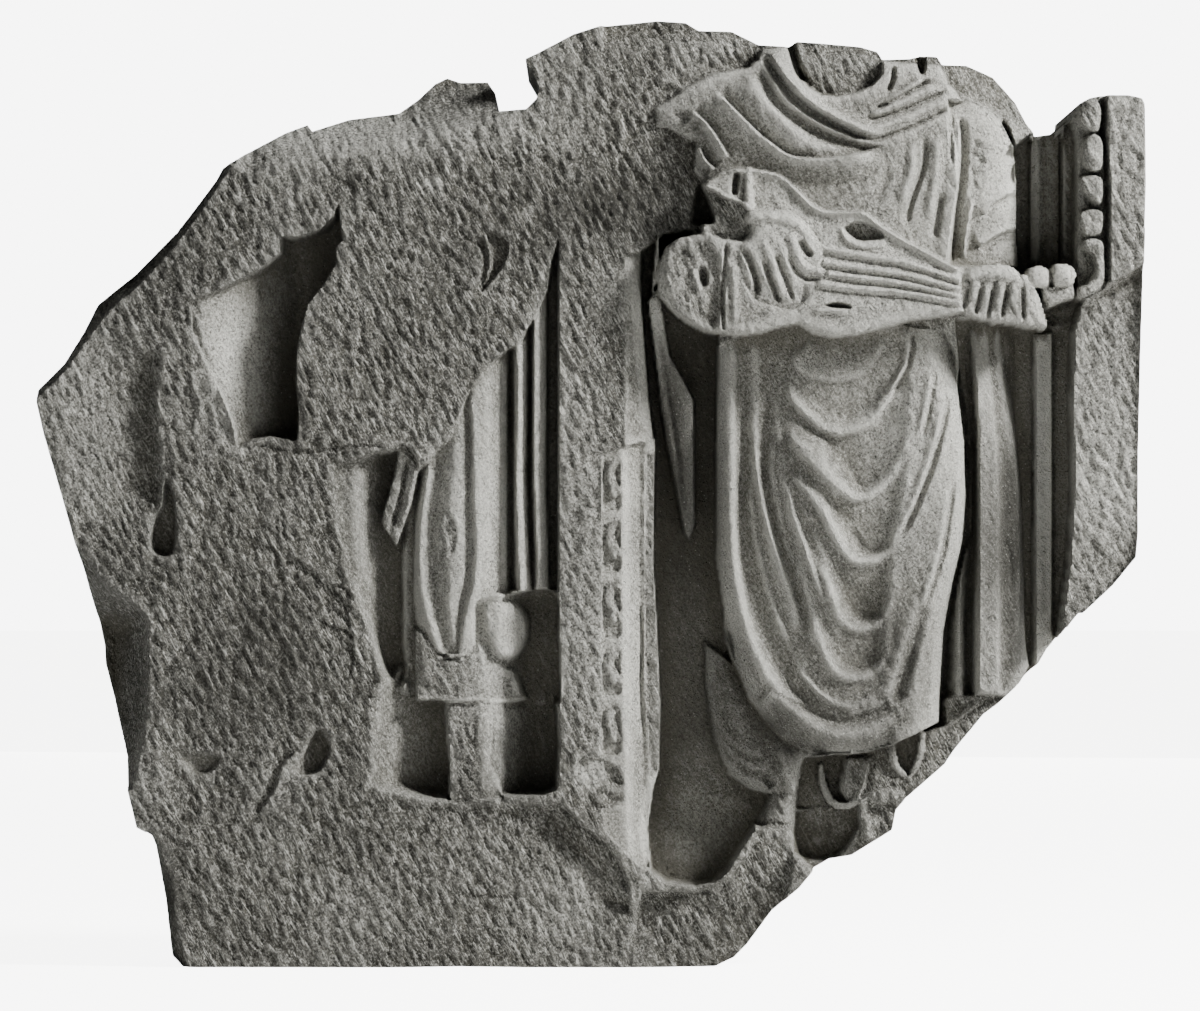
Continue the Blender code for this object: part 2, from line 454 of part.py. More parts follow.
def carve_musician_robe(s):
    """Lower robe of the musician, from the waist to the hem."""
    robe = [(717, 345), (715, 450), (715, 560), (720, 590), (726, 635), (734, 664), (748, 700), (764, 722),
            (782, 741), (801, 751), (819, 756), (847, 757), (869, 754), (895, 746), (925, 732), (942, 724),
            (943, 690), (947, 630), (956, 582), (966, 540), (969, 500), (967, 440), (961, 394), (955, 352),
            (944, 330), (860, 318), (760, 326)]
    down_the_robe = [
        [(714, 330, 50), (714, 450, 50), (716, 560, 50), (722, 610, 50), (734, 664, 49), (752, 704, 49),
         (780, 740, 48), (800, 756, 47)],
        [(722, 340, 55), (721, 450, 58), (723, 560, 59), (730, 610, 59), (744, 660, 58), (764, 700, 57),
         (790, 729, 56), (808, 748, 54)],
        [(731, 345, 57), (731, 450, 61), (732, 540, 62.5), (738, 590, 63), (749, 635, 63), (766, 675, 62.5),
         (786, 700, 62), (807, 720, 61), (822, 742, 57)],
        [(741, 345, 53), (742, 450, 54), (743, 540, 54.5), (750, 590, 55), (763, 635, 56), (780, 668, 56.5),
         (798, 691, 57), (816, 708, 58), (832, 730, 58)],
        [(757, 345, 55), (756, 450, 57.5), (760, 500, 59.5), (772, 545, 60.5), (783, 580, 60.5),
         (793, 610, 60), (803, 640, 60), (812, 665, 60), (822, 690, 60), (838, 715, 59)],
        [(764, 345, 54), (764, 450, 56), (769, 500, 57), (781, 545, 58), (792, 580, 58.5), (801, 610, 58.5),
         (811, 640, 59), (821, 665, 59), (831, 690, 59), (846, 712, 59)],
        [(777, 345, 55), (778, 420, 59), (781, 470, 62), (788, 510, 63), (799, 545, 64), (811, 585, 64.5),
         (821, 620, 64), (826, 650, 63), (836, 670, 62), (850, 695, 60)],
        [(830, 345, 60), (838, 430, 63), (848, 520, 63), (856, 620, 62), (866, 730, 60)],
        [(884, 335, 64), (892, 400, 65), (900, 480, 65), (893, 560, 63.6), (885, 640, 61.6),
         (880, 720, 60.5)],
        [(925, 335, 65), (935, 400, 66), (938, 480, 66), (930, 560, 65), (918, 640, 63), (912, 725, 61.5)],
        [(948, 340, 58), (954, 400, 61), (958, 480, 61.5), (955, 540, 60.5), (942, 590, 59.5),
         (934, 640, 58.5), (931, 720, 57)],
        [(958, 345, 50), (964, 400, 52), (970, 480, 52), (967, 540, 51), (956, 590, 50), (947, 640, 49),
         (944, 720, 48)],
    ]
    s.shape(robe, cloth_over(down_the_robe), crown=0, wall=2.0, rough=0.42, curved=False)
    # Cloth that hangs in deep loops over the front
    loops = [(786, 352), (806, 336), (850, 330), (884, 328), (906, 334), (915, 350), (914, 400), (912, 440),
             (906, 500), (897, 545), (892, 600), (889, 640), (888, 684), (868, 708), (845, 716), (818, 706),
             (796, 682), (789, 660), (800, 636), (803, 600), (797, 560), (790, 510), (783, 460), (779, 400)]
    over_the_loops = [
        [(775, 330, 57), (850, 322, 59), (930, 322, 62)],
        [(787, 351, 58), (801, 369, 61), (827, 379, 61.5), (856, 376, 61.8), (870, 364, 62.4),
         (884, 345, 63.5), (930, 330, 64)],
        [(787, 357, 57.5), (801, 375, 59.6), (827, 385, 60), (856, 382, 60.4), (872, 371, 61.2),
         (888, 350, 63), (930, 335, 64)],
        [(783, 372, 58), (801, 390, 59.5), (827, 406, 60), (850, 411, 60), (872, 400, 60.8), (890, 374, 62.5),
         (930, 340, 64)],
        [(780, 386, 59), (797, 406, 63), (820, 427, 64), (843, 433, 63.8), (868, 423, 63.2), (885, 402, 63.8),
         (902, 372, 65), (930, 345, 65)],
        [(780, 393, 58), (797, 413, 60.5), (820, 434, 61), (843, 440, 61), (870, 430, 61), (888, 410, 62),
         (906, 380, 64), (930, 352, 65)],
        [(780, 415, 59), (798, 430, 62), (815, 435, 62.5), (830, 443, 61), (842, 457, 59.6), (852, 471, 59),
         (862, 484, 59.4), (878, 474, 61), (893, 455, 63), (910, 425, 65), (930, 400, 65)],
        [(780, 432, 61), (800, 450, 66), (815, 466, 68), (832, 482, 68.5), (846, 494, 66.5), (858, 499, 64.4),
         (876, 492, 63.6), (892, 474, 64), (906, 450, 65.4), (930, 420, 65)],
        [(780, 444, 61), (800, 464, 64), (815, 481, 65.5), (832, 494, 65.5), (846, 503, 63), (860, 506, 61.2),
         (878, 499, 61.2), (895, 482, 62.6), (909, 460, 64.5), (930, 432, 65)],
        [(784, 462, 62), (806, 482, 65), (819, 489, 65.5), (834, 505, 62.4), (847, 524, 59.6),
         (857, 542, 58.6), (870, 549, 59), (884, 544, 61), (898, 522, 63.5), (912, 490, 65), (930, 455, 65)],
        [(784, 470, 63), (806, 490, 66.5), (820, 507, 68), (829, 524, 68.5), (838, 542, 67.5),
         (848, 556, 65.4), (860, 562, 63.6), (875, 560, 62.8), (893, 546, 63.4), (908, 515, 65),
         (930, 470, 65)],
        [(784, 486, 62.5), (806, 508, 65), (820, 527, 65.5), (829, 543, 65.5), (840, 557, 64), (850, 566, 62),
         (862, 571, 60.2), (877, 569, 60.2), (896, 556, 62), (911, 525, 64.5), (930, 485, 65)],
        [(790, 510, 63), (812, 545, 65), (826, 564, 65), (837, 580, 61), (846, 598, 57.4), (860, 611, 56.4),
         (875, 611, 57), (887, 600, 59.5), (902, 570, 63), (930, 510, 64)],
        [(790, 522, 64), (812, 558, 66), (826, 582, 66.8), (835, 604, 66), (843, 621, 63), (855, 630, 61.4),
         (870, 628, 61), (884, 618, 61.5), (900, 590, 63.4), (930, 530, 64)],
        [(790, 545, 63), (812, 585, 63.6), (826, 612, 63.6), (835, 627, 62), (845, 634, 60.2), (857, 638, 59),
         (872, 636, 59), (887, 626, 60.6), (903, 600, 63), (930, 550, 63)],
        [(800, 590, 62), (818, 620, 63), (831, 643, 60), (842, 660, 57.8), (856, 667, 57.2), (870, 663, 57.8),
         (884, 652, 60), (900, 620, 62.5), (930, 570, 63)],
        [(800, 606, 62.5), (817, 634, 64), (826, 658, 63.8), (837, 674, 62.4), (850, 679, 61.2),
         (866, 676, 60.8), (880, 667, 61), (900, 640, 62.5), (930, 590, 63)],
        [(790, 640, 60), (806, 660, 60.5), (822, 676, 60), (836, 684, 59.6), (850, 687, 59.4),
         (867, 684, 59.4), (882, 675, 60.5), (902, 650, 62), (930, 600, 62)],
        [(784, 650, 59.5), (801, 669, 60), (822, 690, 59.6), (845, 699, 59.2), (866, 695, 59.2),
         (884, 684, 60), (903, 660, 62)],
        [(784, 655, 60), (801, 674, 61.4), (822, 695, 61.8), (843, 708, 61.6), (864, 704, 61.2),
         (884, 692, 61.2), (904, 670, 62)],
        [(784, 662, 59), (801, 682, 59), (822, 703, 59), (843, 715, 59), (864, 711, 59), (885, 699, 60),
         (905, 680, 61)],
        [(784, 690, 58.5), (806, 706, 58.5), (825, 720, 58.6), (843, 724, 58.8), (864, 720, 58.8),
         (886, 708, 60), (906, 690, 61)],
    ]
    s.shape(loops, cloth_over(over_the_loops, across=True), wall=13, rough=0.42, curved=False)
    # Rolled lower hem
    over_the_hem = [
        [(756, 664, 57), (784, 690, 57), (806, 706, 57), (825, 719, 57.6), (843, 722, 58), (864, 718, 58.6),
         (900, 702, 60)],
        [(756, 678, 62.5), (784, 703, 62.2), (806, 721, 62.2), (824, 732, 62.2), (843, 735, 62),
         (862, 732, 61.8), (900, 716, 61.4)],
        [(756, 692, 60), (784, 718, 59), (806, 736, 58.4), (824, 745, 58), (843, 748, 57.4), (869, 746, 57.4),
         (900, 734, 58.4)],
        [(756, 712, 52), (784, 742, 50), (801, 752, 49), (819, 758, 48), (847, 760, 48), (869, 757, 48),
         (900, 748, 49)],
    ]
    s.shape([(766, 688), (790, 696), (822, 712), (843, 716), (866, 710), (888, 700), (898, 716), (895, 747),
             (869, 755), (847, 758), (819, 757), (801, 752), (782, 742), (764, 722), (756, 706)],
            cloth_over(over_the_hem, across=True), wall=6, rough=0.42, curved=False)
    # Folds that hang from the left arm
    for path, height in [
        ([(756, 440), (757, 470), (762, 500), (772, 540), (784, 576), (796, 606), (804, 634)], 1.5),
        ([(748, 470), (752, 520), (762, 570), (778, 622), (792, 652)], 1.0),
        ([(786, 480), (792, 510), (804, 548), (816, 584), (826, 610)], 1.6),
        ([(770, 430), (772, 480), (782, 530), (794, 570)], 0.9),
    ]:
        s.fold(path[::-1], height * UP, 7, 6, 0.8 * UP, 8, 0.2)
    # Grooves between the long folds on the right
    for path, depth, half in [
        ([(913, 328), (911, 356), (902, 378), (890, 396)], -1.8, 4),
        ([(950, 392), (942, 430), (931, 468), (921, 494), (910, 520), (897, 542)], -2.2, 5),
        ([(954, 476), (950, 510), (944, 548), (935, 580), (924, 612)], -1.8, 4.5),
        ([(927, 600), (915, 640), (905, 672), (896, 706)], -2.8, 11),
        ([(936, 370), (929, 410), (922, 440)], -1.0, 4),
    ]:
        s.stroke(path, depth * UP, half, 0.15)
        s.stroke([(x - half - 1, y) for x, y in path], 0.9 * UP, half + 1, 0.2)


def carve_robe_side(s):
    """Folds that hang on the far side of the robe, beside the right recess."""
    side = [(954, 318), (976, 318), (1004, 322), (1014, 380), (1020, 430), (1026, 500), (1028, 560),
            (1030, 640), (1034, 668), (1020, 690), (984, 712), (955, 712), (944, 690), (948, 620), (958, 580),
            (968, 540), (970, 480), (967, 420), (960, 380)]
    rails = [
        [(955, 320, 44), (966, 400, 43), (970, 450, 42), (971, 530, 40), (959, 575, 38), (951, 610, 34),
         (947, 690, 34)],
        [(960, 320, 44), (969, 400, 43), (973, 450, 41), (973, 530, 41), (963, 560, 47), (961, 600, 50),
         (961, 680, 49)],
        [(966, 320, 44), (973, 400, 41), (976, 450, 38), (976, 540, 38), (973, 580, 38), (971, 620, 36),
         (971, 675, 37)],
        [(972, 320, 44), (976, 350, 48), (979, 400, 56), (980, 450, 58), (981, 600, 58), (981, 680, 56)],
        [(984, 320, 45), (988, 360, 48), (993, 420, 56), (997, 480, 57), (998, 560, 57), (998, 680, 55.5)],
        [(990, 320, 44), (994, 365, 45), (1000, 420, 51), (1003, 480, 51), (1004, 560, 51), (1004, 675, 50)],
        [(998, 320, 42), (1002, 370, 43), (1012, 430, 48.5), (1017, 480, 49), (1019, 560, 49),
         (1021, 670, 48)],
        [(1006, 320, 36), (1010, 375, 36), (1020, 430, 38), (1026, 480, 38), (1028, 560, 38),
         (1032, 668, 38)],
    ]
    s.shape(side, cloth_over(rails), wall=3, rough=0.5, curved=False)
    s.stroke([(1004, 530), (1012, 560), (1014, 600)], -0.8 * UP, 4, 0.2)
    s.stroke([(960, 664), (970, 678), (986, 691), (998, 680)], 1.4 * UP, 5, 0.15)
    # Rough ground below the folds
    s.shape([(944, 696), (985, 692), (1010, 696), (1014, 716), (985, 740), (956, 770), (930, 750),
            (944, 726)],
            48 * UP, wall=6, rough=1.0)
    s.fold([(948, 727), (964, 716), (984, 700), (1004, 694)], 1.6 * UP, 8, 4, 0.5 * UP, 6)


def carve_feet(s):
    """Drape ends, ankle and broken ground below the hem."""
    # Inner robe seen below the hem on the left
    inner = [(704, 640), (738, 664), (766, 716), (802, 746), (824, 754), (812, 762), (803, 776), (798, 798),
             (782, 796), (768, 798), (750, 793), (728, 778), (712, 740), (704, 690)]
    rails = [
        [(702, 640, 33), (702, 700, 33), (710, 760, 33), (735, 790, 34), (745, 800, 34)],
        [(712, 640, 34.5), (720, 700, 40), (735, 750, 42), (752, 785, 44), (758, 797, 44)],
        [(724, 650, 35.5), (738, 710, 44), (755, 750, 47), (768, 780, 47), (772, 797, 46)],
        [(740, 672, 38), (757, 725, 45), (772, 755, 48), (781, 780, 50), (783, 797, 48)],
        [(757, 700, 42), (774, 735, 47), (785, 757, 51), (792, 780, 52), (794, 800, 50)],
        [(775, 725, 43), (796, 746, 48), (808, 757, 49), (802, 780, 46), (798, 800, 44)],
    ]
    s.shape(inner, cloth_over(rails), wall=4, rough=0.5, curved=False)
    for path, height in [
        ([(708, 700), (722, 730), (746, 752), (772, 756)], 0.9),
        ([(714, 726), (732, 752), (752, 768), (772, 768)], 0.9),
    ]:
        s.fold(path, height * UP, 10, 5, 0.6 * UP, 8, 0.2)
    s.stroke([(724, 770), (744, 786), (760, 796), (776, 796), (784, 788)], 1.6 * UP, 5, 0.15)
    s.stroke([(764, 776), (770, 784), (774, 790)], -3.0 * UP, 6, 0.2)
    # Hollows between the drape ends
    s.shape([(803, 760), (812, 757), (846, 757), (843, 788), (850, 806), (838, 813), (800, 813), (797, 800),
             (799, 778)], 33 * UP, wall=4, rough=0.5)
    s.shape([(797, 812), (862, 808), (858, 836), (838, 860), (806, 862), (796, 850)], 34 * UP, wall=5,
            rough=0.6)
    s.tube([(791, 774), (784, 800), (776, 832)], [11, 14, 20], [49 * UP, 49 * UP, 51 * UP], rough=0.8,
            squash=1.4)
    # Broken ground under the feet
    s.shape([(756, 830), (768, 824), (788, 826), (797, 838), (797, 862), (786, 905), (757, 940), (738, 966),
             (715, 980), (620, 980), (640, 890), (697, 889), (725, 876), (745, 854)],
            lambda x, y: 56 * UP + 1.5 * UP * lattice_noise(x, y, 40, 23), wall=6, rough=1.0, curved=False)
    s.stroke([(758, 824), (776, 828), (796, 826)], -1.5 * UP, 5, 0.2)
    # Folds of the drape between the feet
    s.shape([(846, 757), (874, 755), (890, 770), (884, 790), (868, 800), (856, 806), (848, 800), (843, 786)],
            lambda x, y: 46 * UP + 2 * UP * ease((x - 850) / 24), wall=4, rough=0.9, curved=False)
    s.fold([(850, 808), (846, 790), (850, 758)], 1.6 * UP, 7, 4, 0.8 * UP, 6, 0.15)
    s.fold([(856, 806), (864, 786), (870, 757)], 1.8 * UP, 8, 4, 1.4 * UP, 8, 0.15)
    s.tube([(822, 768), (825, 788), (833, 803), (846, 808), (860, 802)], [3, 4, 4, 4, 3],
           [38 * UP, 40 * UP, 42 * UP, 46 * UP, 49 * UP], rough=0.5)
    s.shape([(894, 744), (922, 734), (921, 756), (912, 776), (904, 776), (897, 764)], 44 * UP, wall=4,
            rough=0.6)
    s.tube([(893, 746), (896, 765), (906, 777)], [3.5, 4, 3], [52 * UP, 51 * UP, 49 * UP], rough=0.5)
    s.tube([(924, 734), (921, 757), (913, 777)], [3, 3.5, 3], [52 * UP, 51 * UP, 49 * UP], rough=0.5)
    s.shape([(858, 804), (880, 788), (905, 790), (906, 802), (896, 832), (866, 842)],
            lambda x, y: 50 * UP + 2.5 * UP * lattice_noise(x, y, 14, 25), wall=4, rough=1.0)


def carve_musician_shoulders(s):
    """Chest and shoulders of the musician, with the folds of the collar."""
    chest = [(652, 108), (672, 96), (690, 84), (712, 73), (748, 66), (762, 48), (800, 44), (882, 60),
             (940, 64), (962, 100), (990, 110), (1006, 126), (1016, 146), (1019, 180), (1018, 226),
             (1020, 262), (960, 290), (700, 290), (700, 182), (692, 171), (694, 144), (670, 131), (656, 128)]

    def body(x, y):
        across = np.clip(np.abs(x - 845) / 190.0, 0, 1)
        return 69 * UP - 8 * UP * across ** 2 - 5 * UP * ease((90 - y) / 60)
    s.shape(chest, body, crown=2.5 * UP, round=14, wall=3, rough=0.4, curved=False)
    # Broken ground above the shoulders
    s.shape([(600, 0), (700, 0), (740, 10), (765, 30), (762, 46), (760, 62), (744, 68), (712, 74), (690, 86),
             (668, 104), (650, 110), (600, 100)], lambda x, y: 60.5 * UP - 6 * UP * ease((54 - y) / 30)
            + 1.0 * UP * lattice_noise(x, y, 40, 31), wall=7, rough=1.0, curved=False)
    s.shape([(940, 50), (967, 50), (1010, 60), (1040, 100), (1046, 128), (1024, 142), (1016, 150),
             (1008, 128), (992, 110), (966, 99), (946, 86)],
            lambda x, y: 60 * UP - 16 * UP * ease((x - 0.4 * (y - 100) - 950) / 90), wall=4, rough=1.0,
            curved=False)
    carve_arm(s)
    # Collar: a full roll, a thin one below it and a broad band of cloth
    s.fold([(766, 44), (776, 62), (788, 80), (808, 101), (828, 114), (846, 123), (870, 133), (890, 132)],
            4.6 * UP,
           15, 8, 2.8 * UP, 6, 0.2)
    s.fold([(759, 58), (770, 78), (782, 97), (796, 110), (812, 121), (832, 131), (852, 138), (874, 143),
            (892, 141)], 2.6 * UP, 5, 7, 2.6 * UP, 12, 0.22)
    s.fold([(742, 72), (752, 88), (768, 106), (784, 124), (802, 141), (824, 153), (848, 156), (872, 152)],
           3.0 * UP, 17, 34, 0.0, 4, 0.14, 1.0)
    # Edges of cloth that overlap down the shoulder, each lifted on its lower left
    for path, height, slope in [
        ([(713, 90), (728, 106), (742, 120), (757, 135), (772, 147), (787, 157), (804, 161), (830, 161),
          (858, 156), (882, 149)], 3.2, 24),
        ([(690, 112), (702, 121), (712, 133), (720, 146), (728, 160)], 2.6, 16),
        ([(698, 147), (704, 160), (714, 171)], 2.0, 9),
    ]:
        s.fold(path[::-1], height * UP, slope, 3.5, 1.2 * UP, 10, 0.1, 1.0)
    s.stroke([(668, 112), (690, 120), (704, 136)], -1.2 * UP, 8, 0.3)
    # Bands of cloth that rise to the right shoulder
    for path in [[(872, 112), (893, 101), (915, 89), (930, 80)], [(866, 122), (900, 112), (925, 101),
            (947, 91)],
                 [(872, 141), (900, 132), (925, 121), (948, 109)]]:
        s.stroke(path, -2.2 * UP, 3.2, 0.12)
    for path in [[(866, 117), (893, 107), (918, 95), (938, 86)], [(868, 131), (900, 121), (925, 110),
            (950, 99)],
                 [(884, 106), (902, 93), (922, 80)]]:
        s.stroke(path, 1.8 * UP, 5.5, 0.12)
    s.stroke([(893, 66), (892, 80), (886, 94)], -3.4 * UP, 4, 0.2)
    s.shape([(913, 50), (926, 50), (926, 70), (921, 76), (916, 68)], 58 * UP, wall=3, mode="cut", rough=1.0)
    # Break of the neck, with a deep gap between it and the collar
    s.shape([(790, 30), (822, 30), (861, 34), (884, 50), (883, 76), (872, 88), (856, 96), (838, 99),
             (820, 98), (806, 89), (797, 74), (792, 56)], lambda x, y: 66 * UP - 4 * UP * ease((64 - y) / 20)
            + 1.2 * UP * lattice_noise(x, y, 22, 33, 1.1, 2), wall=4, rough=1.0, curved=False)
    s.stroke([(788, 38), (793, 56), (798, 72), (806, 84)], -8 * UP, 6, 0.14, 0.2)
    # Chest folds that run down to the instrument
    for path, depth, half in [
        ([(924, 132), (924, 160), (919, 180), (911, 202), (905, 230)], -2.2, 4.5),
        ([(949, 114), (951, 140), (952, 166)], -2.4, 4),
        ([(942, 192), (938, 214), (934, 240)], -2.4, 5),
        ([(890, 170), (882, 186), (876, 206)], -1.2, 8),
    ]:
        s.stroke(path, depth * UP, half, 0.2)
    s.fold([(945, 264), (948, 240), (952, 210), (957, 180), (959, 144), (956, 116)], 2.0 * UP, 14, 3,
            3.2 * UP, 9,
           0.08, 1.0)
    s.stroke([(972, 198), (967, 225), (963, 260)], 1.8 * UP, 3.5, 0.15)
    for path in [[(912, 140), (910, 172), (898, 210)], [(936, 128), (936, 170), (926, 226)]]:
        s.stroke(path, 1.4 * UP, 8, 0.25)


def carve_instrument(s):
    """The stringed instrument held across the chest, and the broken wrist above it."""
    body = [(701, 184), (719, 173), (735, 169), (755, 170), (775, 174), (786, 180), (800, 193), (812, 205),
            (823, 211), (840, 212), (861, 212), (871, 218), (881, 226), (900, 238), (921, 249), (943, 261),
            (962, 270), (968, 292), (964, 314), (943, 318), (910, 323), (880, 331), (855, 337), (830, 339),
            (812, 335), (798, 326), (780, 329), (760, 335), (735, 338), (705, 334), (684, 323), (670, 312),
            (659, 298), (655, 280), (658, 262), (664, 246), (680, 236), (700, 232)]

    def face(x, y):
        return 72.5 * UP + 1.5 * UP * ease((y - 200) / 100) - 4 * UP * ease((720 - x) / 60)
    s.shape(body, face, crown=3.2 * UP, round=13, wall=2.0, rough=0.45, curved=False)
    s.shape([(664, 246), (680, 234), (704, 238), (720, 256), (724, 300), (716, 330), (690, 322), (668, 304),
             (660, 280)], lambda x, y: 73 * UP + 0.8 * UP * lattice_noise(x, y, 14, 43, 1.1, 2),
             crown=1.5 * UP,
            round=16, wall=8, rough=0.75)
    # Pit and cord at the left end
    s.shape([(699, 266), (706, 268), (710, 276), (708, 286), (701, 288), (697, 278)], 70 * UP, wall=5,
            rough=0.9, mode="cut")
    s.stroke([(692, 268), (695, 280), (700, 294)], 1.6 * UP, 4, 0.2)
    s.stroke([(726, 244), (724, 270), (722, 300), (723, 332)], -2.6 * UP, 3, 0.06)
    s.stroke([(733, 262), (734, 290), (735, 326)], 0.9 * UP, 6, 0.15)
    # Raised rim along the upper edge
    rim = [(703, 184), (719, 175), (735, 171), (755, 172), (775, 176), (786, 182), (800, 195), (812, 207),
           (823, 213), (840, 214), (861, 214), (871, 220), (881, 228), (900, 240), (921, 251), (943, 263),
           (962, 272)]
    s.stroke(rim, 1.8 * UP, 4.0, 0.02)
    s.fold(rim, 0.6 * UP, 4, 10, 0.8 * UP, 14, 0.04)
    # Slot and upright bar beside the wrist
    s.stroke([(737, 173), (735, 184), (734, 196)], -4.6 * UP, 4, 0.1, 0.3)
    s.tube([(748, 173), (748, 190), (749, 208)], [4.5, 4.5, 6], [76.5 * UP, 77.5 * UP, 78.5 * UP], rough=0.3)
    # Sound holes, each with a bright lower lip
    s.shape([(842, 230), (850, 223), (864, 222), (878, 229), (884, 238), (870, 243), (854, 242)], 71 * UP,
            wall=4, rough=1.0, mode="cut")
    s.stroke([(838, 228), (845, 240), (858, 247), (874, 247), (886, 241)], 1.0 * UP, 4, 0.1)
    s.shape([(822, 307), (834, 302), (848, 305), (850, 310), (834, 310)], 70.5 * UP, wall=4, mode="cut")
    s.stroke([(812, 312), (826, 311), (848, 314)], 1.4 * UP, 4, 0.15)
    # Broken wrist and the deep gap beside it
    s.shape([(703, 187), (712, 190), (724, 198), (742, 204), (750, 214), (751, 234), (742, 244), (724, 242),
             (706, 236), (700, 222)], lambda x, y: 72.5 * UP + 2.2 * UP * lattice_noise(x, y, 9, 41, 1.35, 3),
            wall=3, rough=1.0, curved=False)
    s.shape([(698, 182), (704, 187), (711, 203), (715, 222), (704, 226), (690, 223), (692, 202)],
            lambda x, y: 50 * UP + 12 * UP * ease((704 - x) / 18), wall=4, rough=0.6)
    s.stroke([(703, 186), (714, 191), (726, 198), (742, 204), (750, 212)], 1.6 * UP, 2.5, 0.1)
    # Strings
    for path, height in [
        ([(812, 249), (836, 252), (870, 258), (905, 264), (966, 284)], 1.7),
        ([(819, 262), (850, 268), (900, 275), (966, 292)], 1.5),
        ([(824, 274), (860, 279), (905, 285), (966, 298)], 1.5),
        ([(815, 284), (850, 289), (905, 294), (966, 304)], 1.5),
    ]:
        s.stroke(path, height * UP, 4.6, 0.03)
        s.stroke([(x, y + 5.5) for x, y in path], -0.8 * UP, 2.6, 0.03)


def carve_left_hand(s):
    """The hand that plucks the strings."""
    hand = [(750, 212), (768, 213), (787, 216), (798, 221), (808, 231), (816, 243), (824, 250), (822, 260),
            (824, 272), (818, 280), (806, 281), (806, 298), (798, 308), (786, 312), (772, 308), (756, 303),
            (744, 288), (738, 264), (740, 246), (750, 236)]
    s.shape(hand, lambda x, y: 76 * UP - 1.5 * UP * ease((y - 262) / 40), crown=2.5 * UP, round=14, wall=2,
            rough=0.55)
    # Thumb along the top
    s.tube([(752, 218), (772, 219), (790, 223), (802, 232), (812, 243), (826, 253)], [8, 9, 9, 8, 6.5, 5],
           [79 * UP, 79.4 * UP, 79.6 * UP, 79 * UP, 77.8 * UP, 76.6 * UP], rough=0.45, squash=1.5)
    # Fingers
    for path, radii, tops in [
        ([(752, 244), (758, 266), (761, 286), (764, 302)], [6, 5.5, 5, 4], [78, 78, 77, 75]),
        ([(764, 244), (772, 266), (779, 288), (787, 306)], [6, 6, 6, 4.5], [79, 79.5, 78.5, 76]),
        ([(778, 242), (787, 264), (794, 282), (801, 298)], [6, 6, 6, 4.5], [79, 79.5, 78.5, 76]),
        ([(790, 238), (795, 254), (803, 266), (820, 272)], [6, 6, 6, 5], [79.5, 80, 79.5, 78]),
    ]:
        s.tube(path, radii, np.array(tops) * UP, rough=0.4, squash=1.2)
    # Gaps between the fingers
    for path, depth, half in [
        ([(741, 248), (749, 262), (755, 280), (757, 298)], -4.2, 5.0),
        ([(762, 258), (768, 276), (774, 292), (779, 306)], -3.4, 4.6),
        ([(774, 254), (783, 276), (793, 302)], -2.8, 3.6),
        ([(786, 256), (795, 272), (806, 280), (822, 280)], -2.6, 4.0),
        ([(799, 240), (804, 250), (811, 258)], -4.0, 5.5),
    ]:
        s.stroke(path, depth * UP, half, 0.18)


def carve_right_hand(s):
    """The hand on the instrument's neck, the pegs and the upturned end."""
    s.shape([(960, 272), (978, 267), (1000, 265), (1014, 270), (1026, 281), (1036, 296), (1042, 316),
             (1046, 328), (1032, 330), (1008, 326), (980, 322), (962, 314), (958, 300), (958, 284)],
             73.2 * UP, crown=2.4 * UP,
            round=10, wall=2, rough=0.5)
    s.tube([(972, 277), (990, 274), (1006, 275), (1018, 284)], [8, 9, 9, 7], [77 * UP, 78 * UP, 78 * UP,
            76 * UP],
           rough=0.3)
    fingers = [(974, 282, 968, 312), (986, 284, 980, 316), (999, 284, 993, 320), (1013, 286, 1008, 314)]
    for x0, y0, x1, y1 in fingers:
        s.tube([(x0, y0), (0.5 * (x0 + x1) + 1, 0.5 * (y0 + y1)), (x1, y1)], [6, 6.4, 5],
               [77 * UP, 77 * UP, 74.5 * UP], rough=0.6)
    s.tube([(1020, 280), (1029, 292), (1036, 308), (1043, 326)], [6, 6, 5.5, 4.5],
           [76 * UP, 75.5 * UP, 73.5 * UP, 69 * UP], rough=0.5)
    for x0, x1, y1 in [(967, 962, 310), (980, 974, 316), (992, 986, 320), (1006, 1000, 320),
            (1021, 1022, 322)]:
        s.stroke([(x0, 288), (0.5 * (x0 + x1), 302), (x1, y1)], -2.6 * UP, 3, 0.15)
    # Neck of the instrument and its pegs
    s.shape([(1038, 283), (1056, 280), (1074, 281), (1076, 300), (1062, 304), (1046, 311), (1039, 300)],
            70.5 * UP, crown=1.5 * UP, round=6, wall=2.5, rough=0.9, curved=False)
    for x, y, r in [(1037, 278, 11.5), (1061, 276, 12)]:
        s.tube([(x - 2, y), (x + 2, y)], r, 76 * UP, rough=0.3, squash=0.9)
    s.stroke([(1049, 268), (1050, 280), (1050, 288)], -4 * UP, 3.5, 0.1)


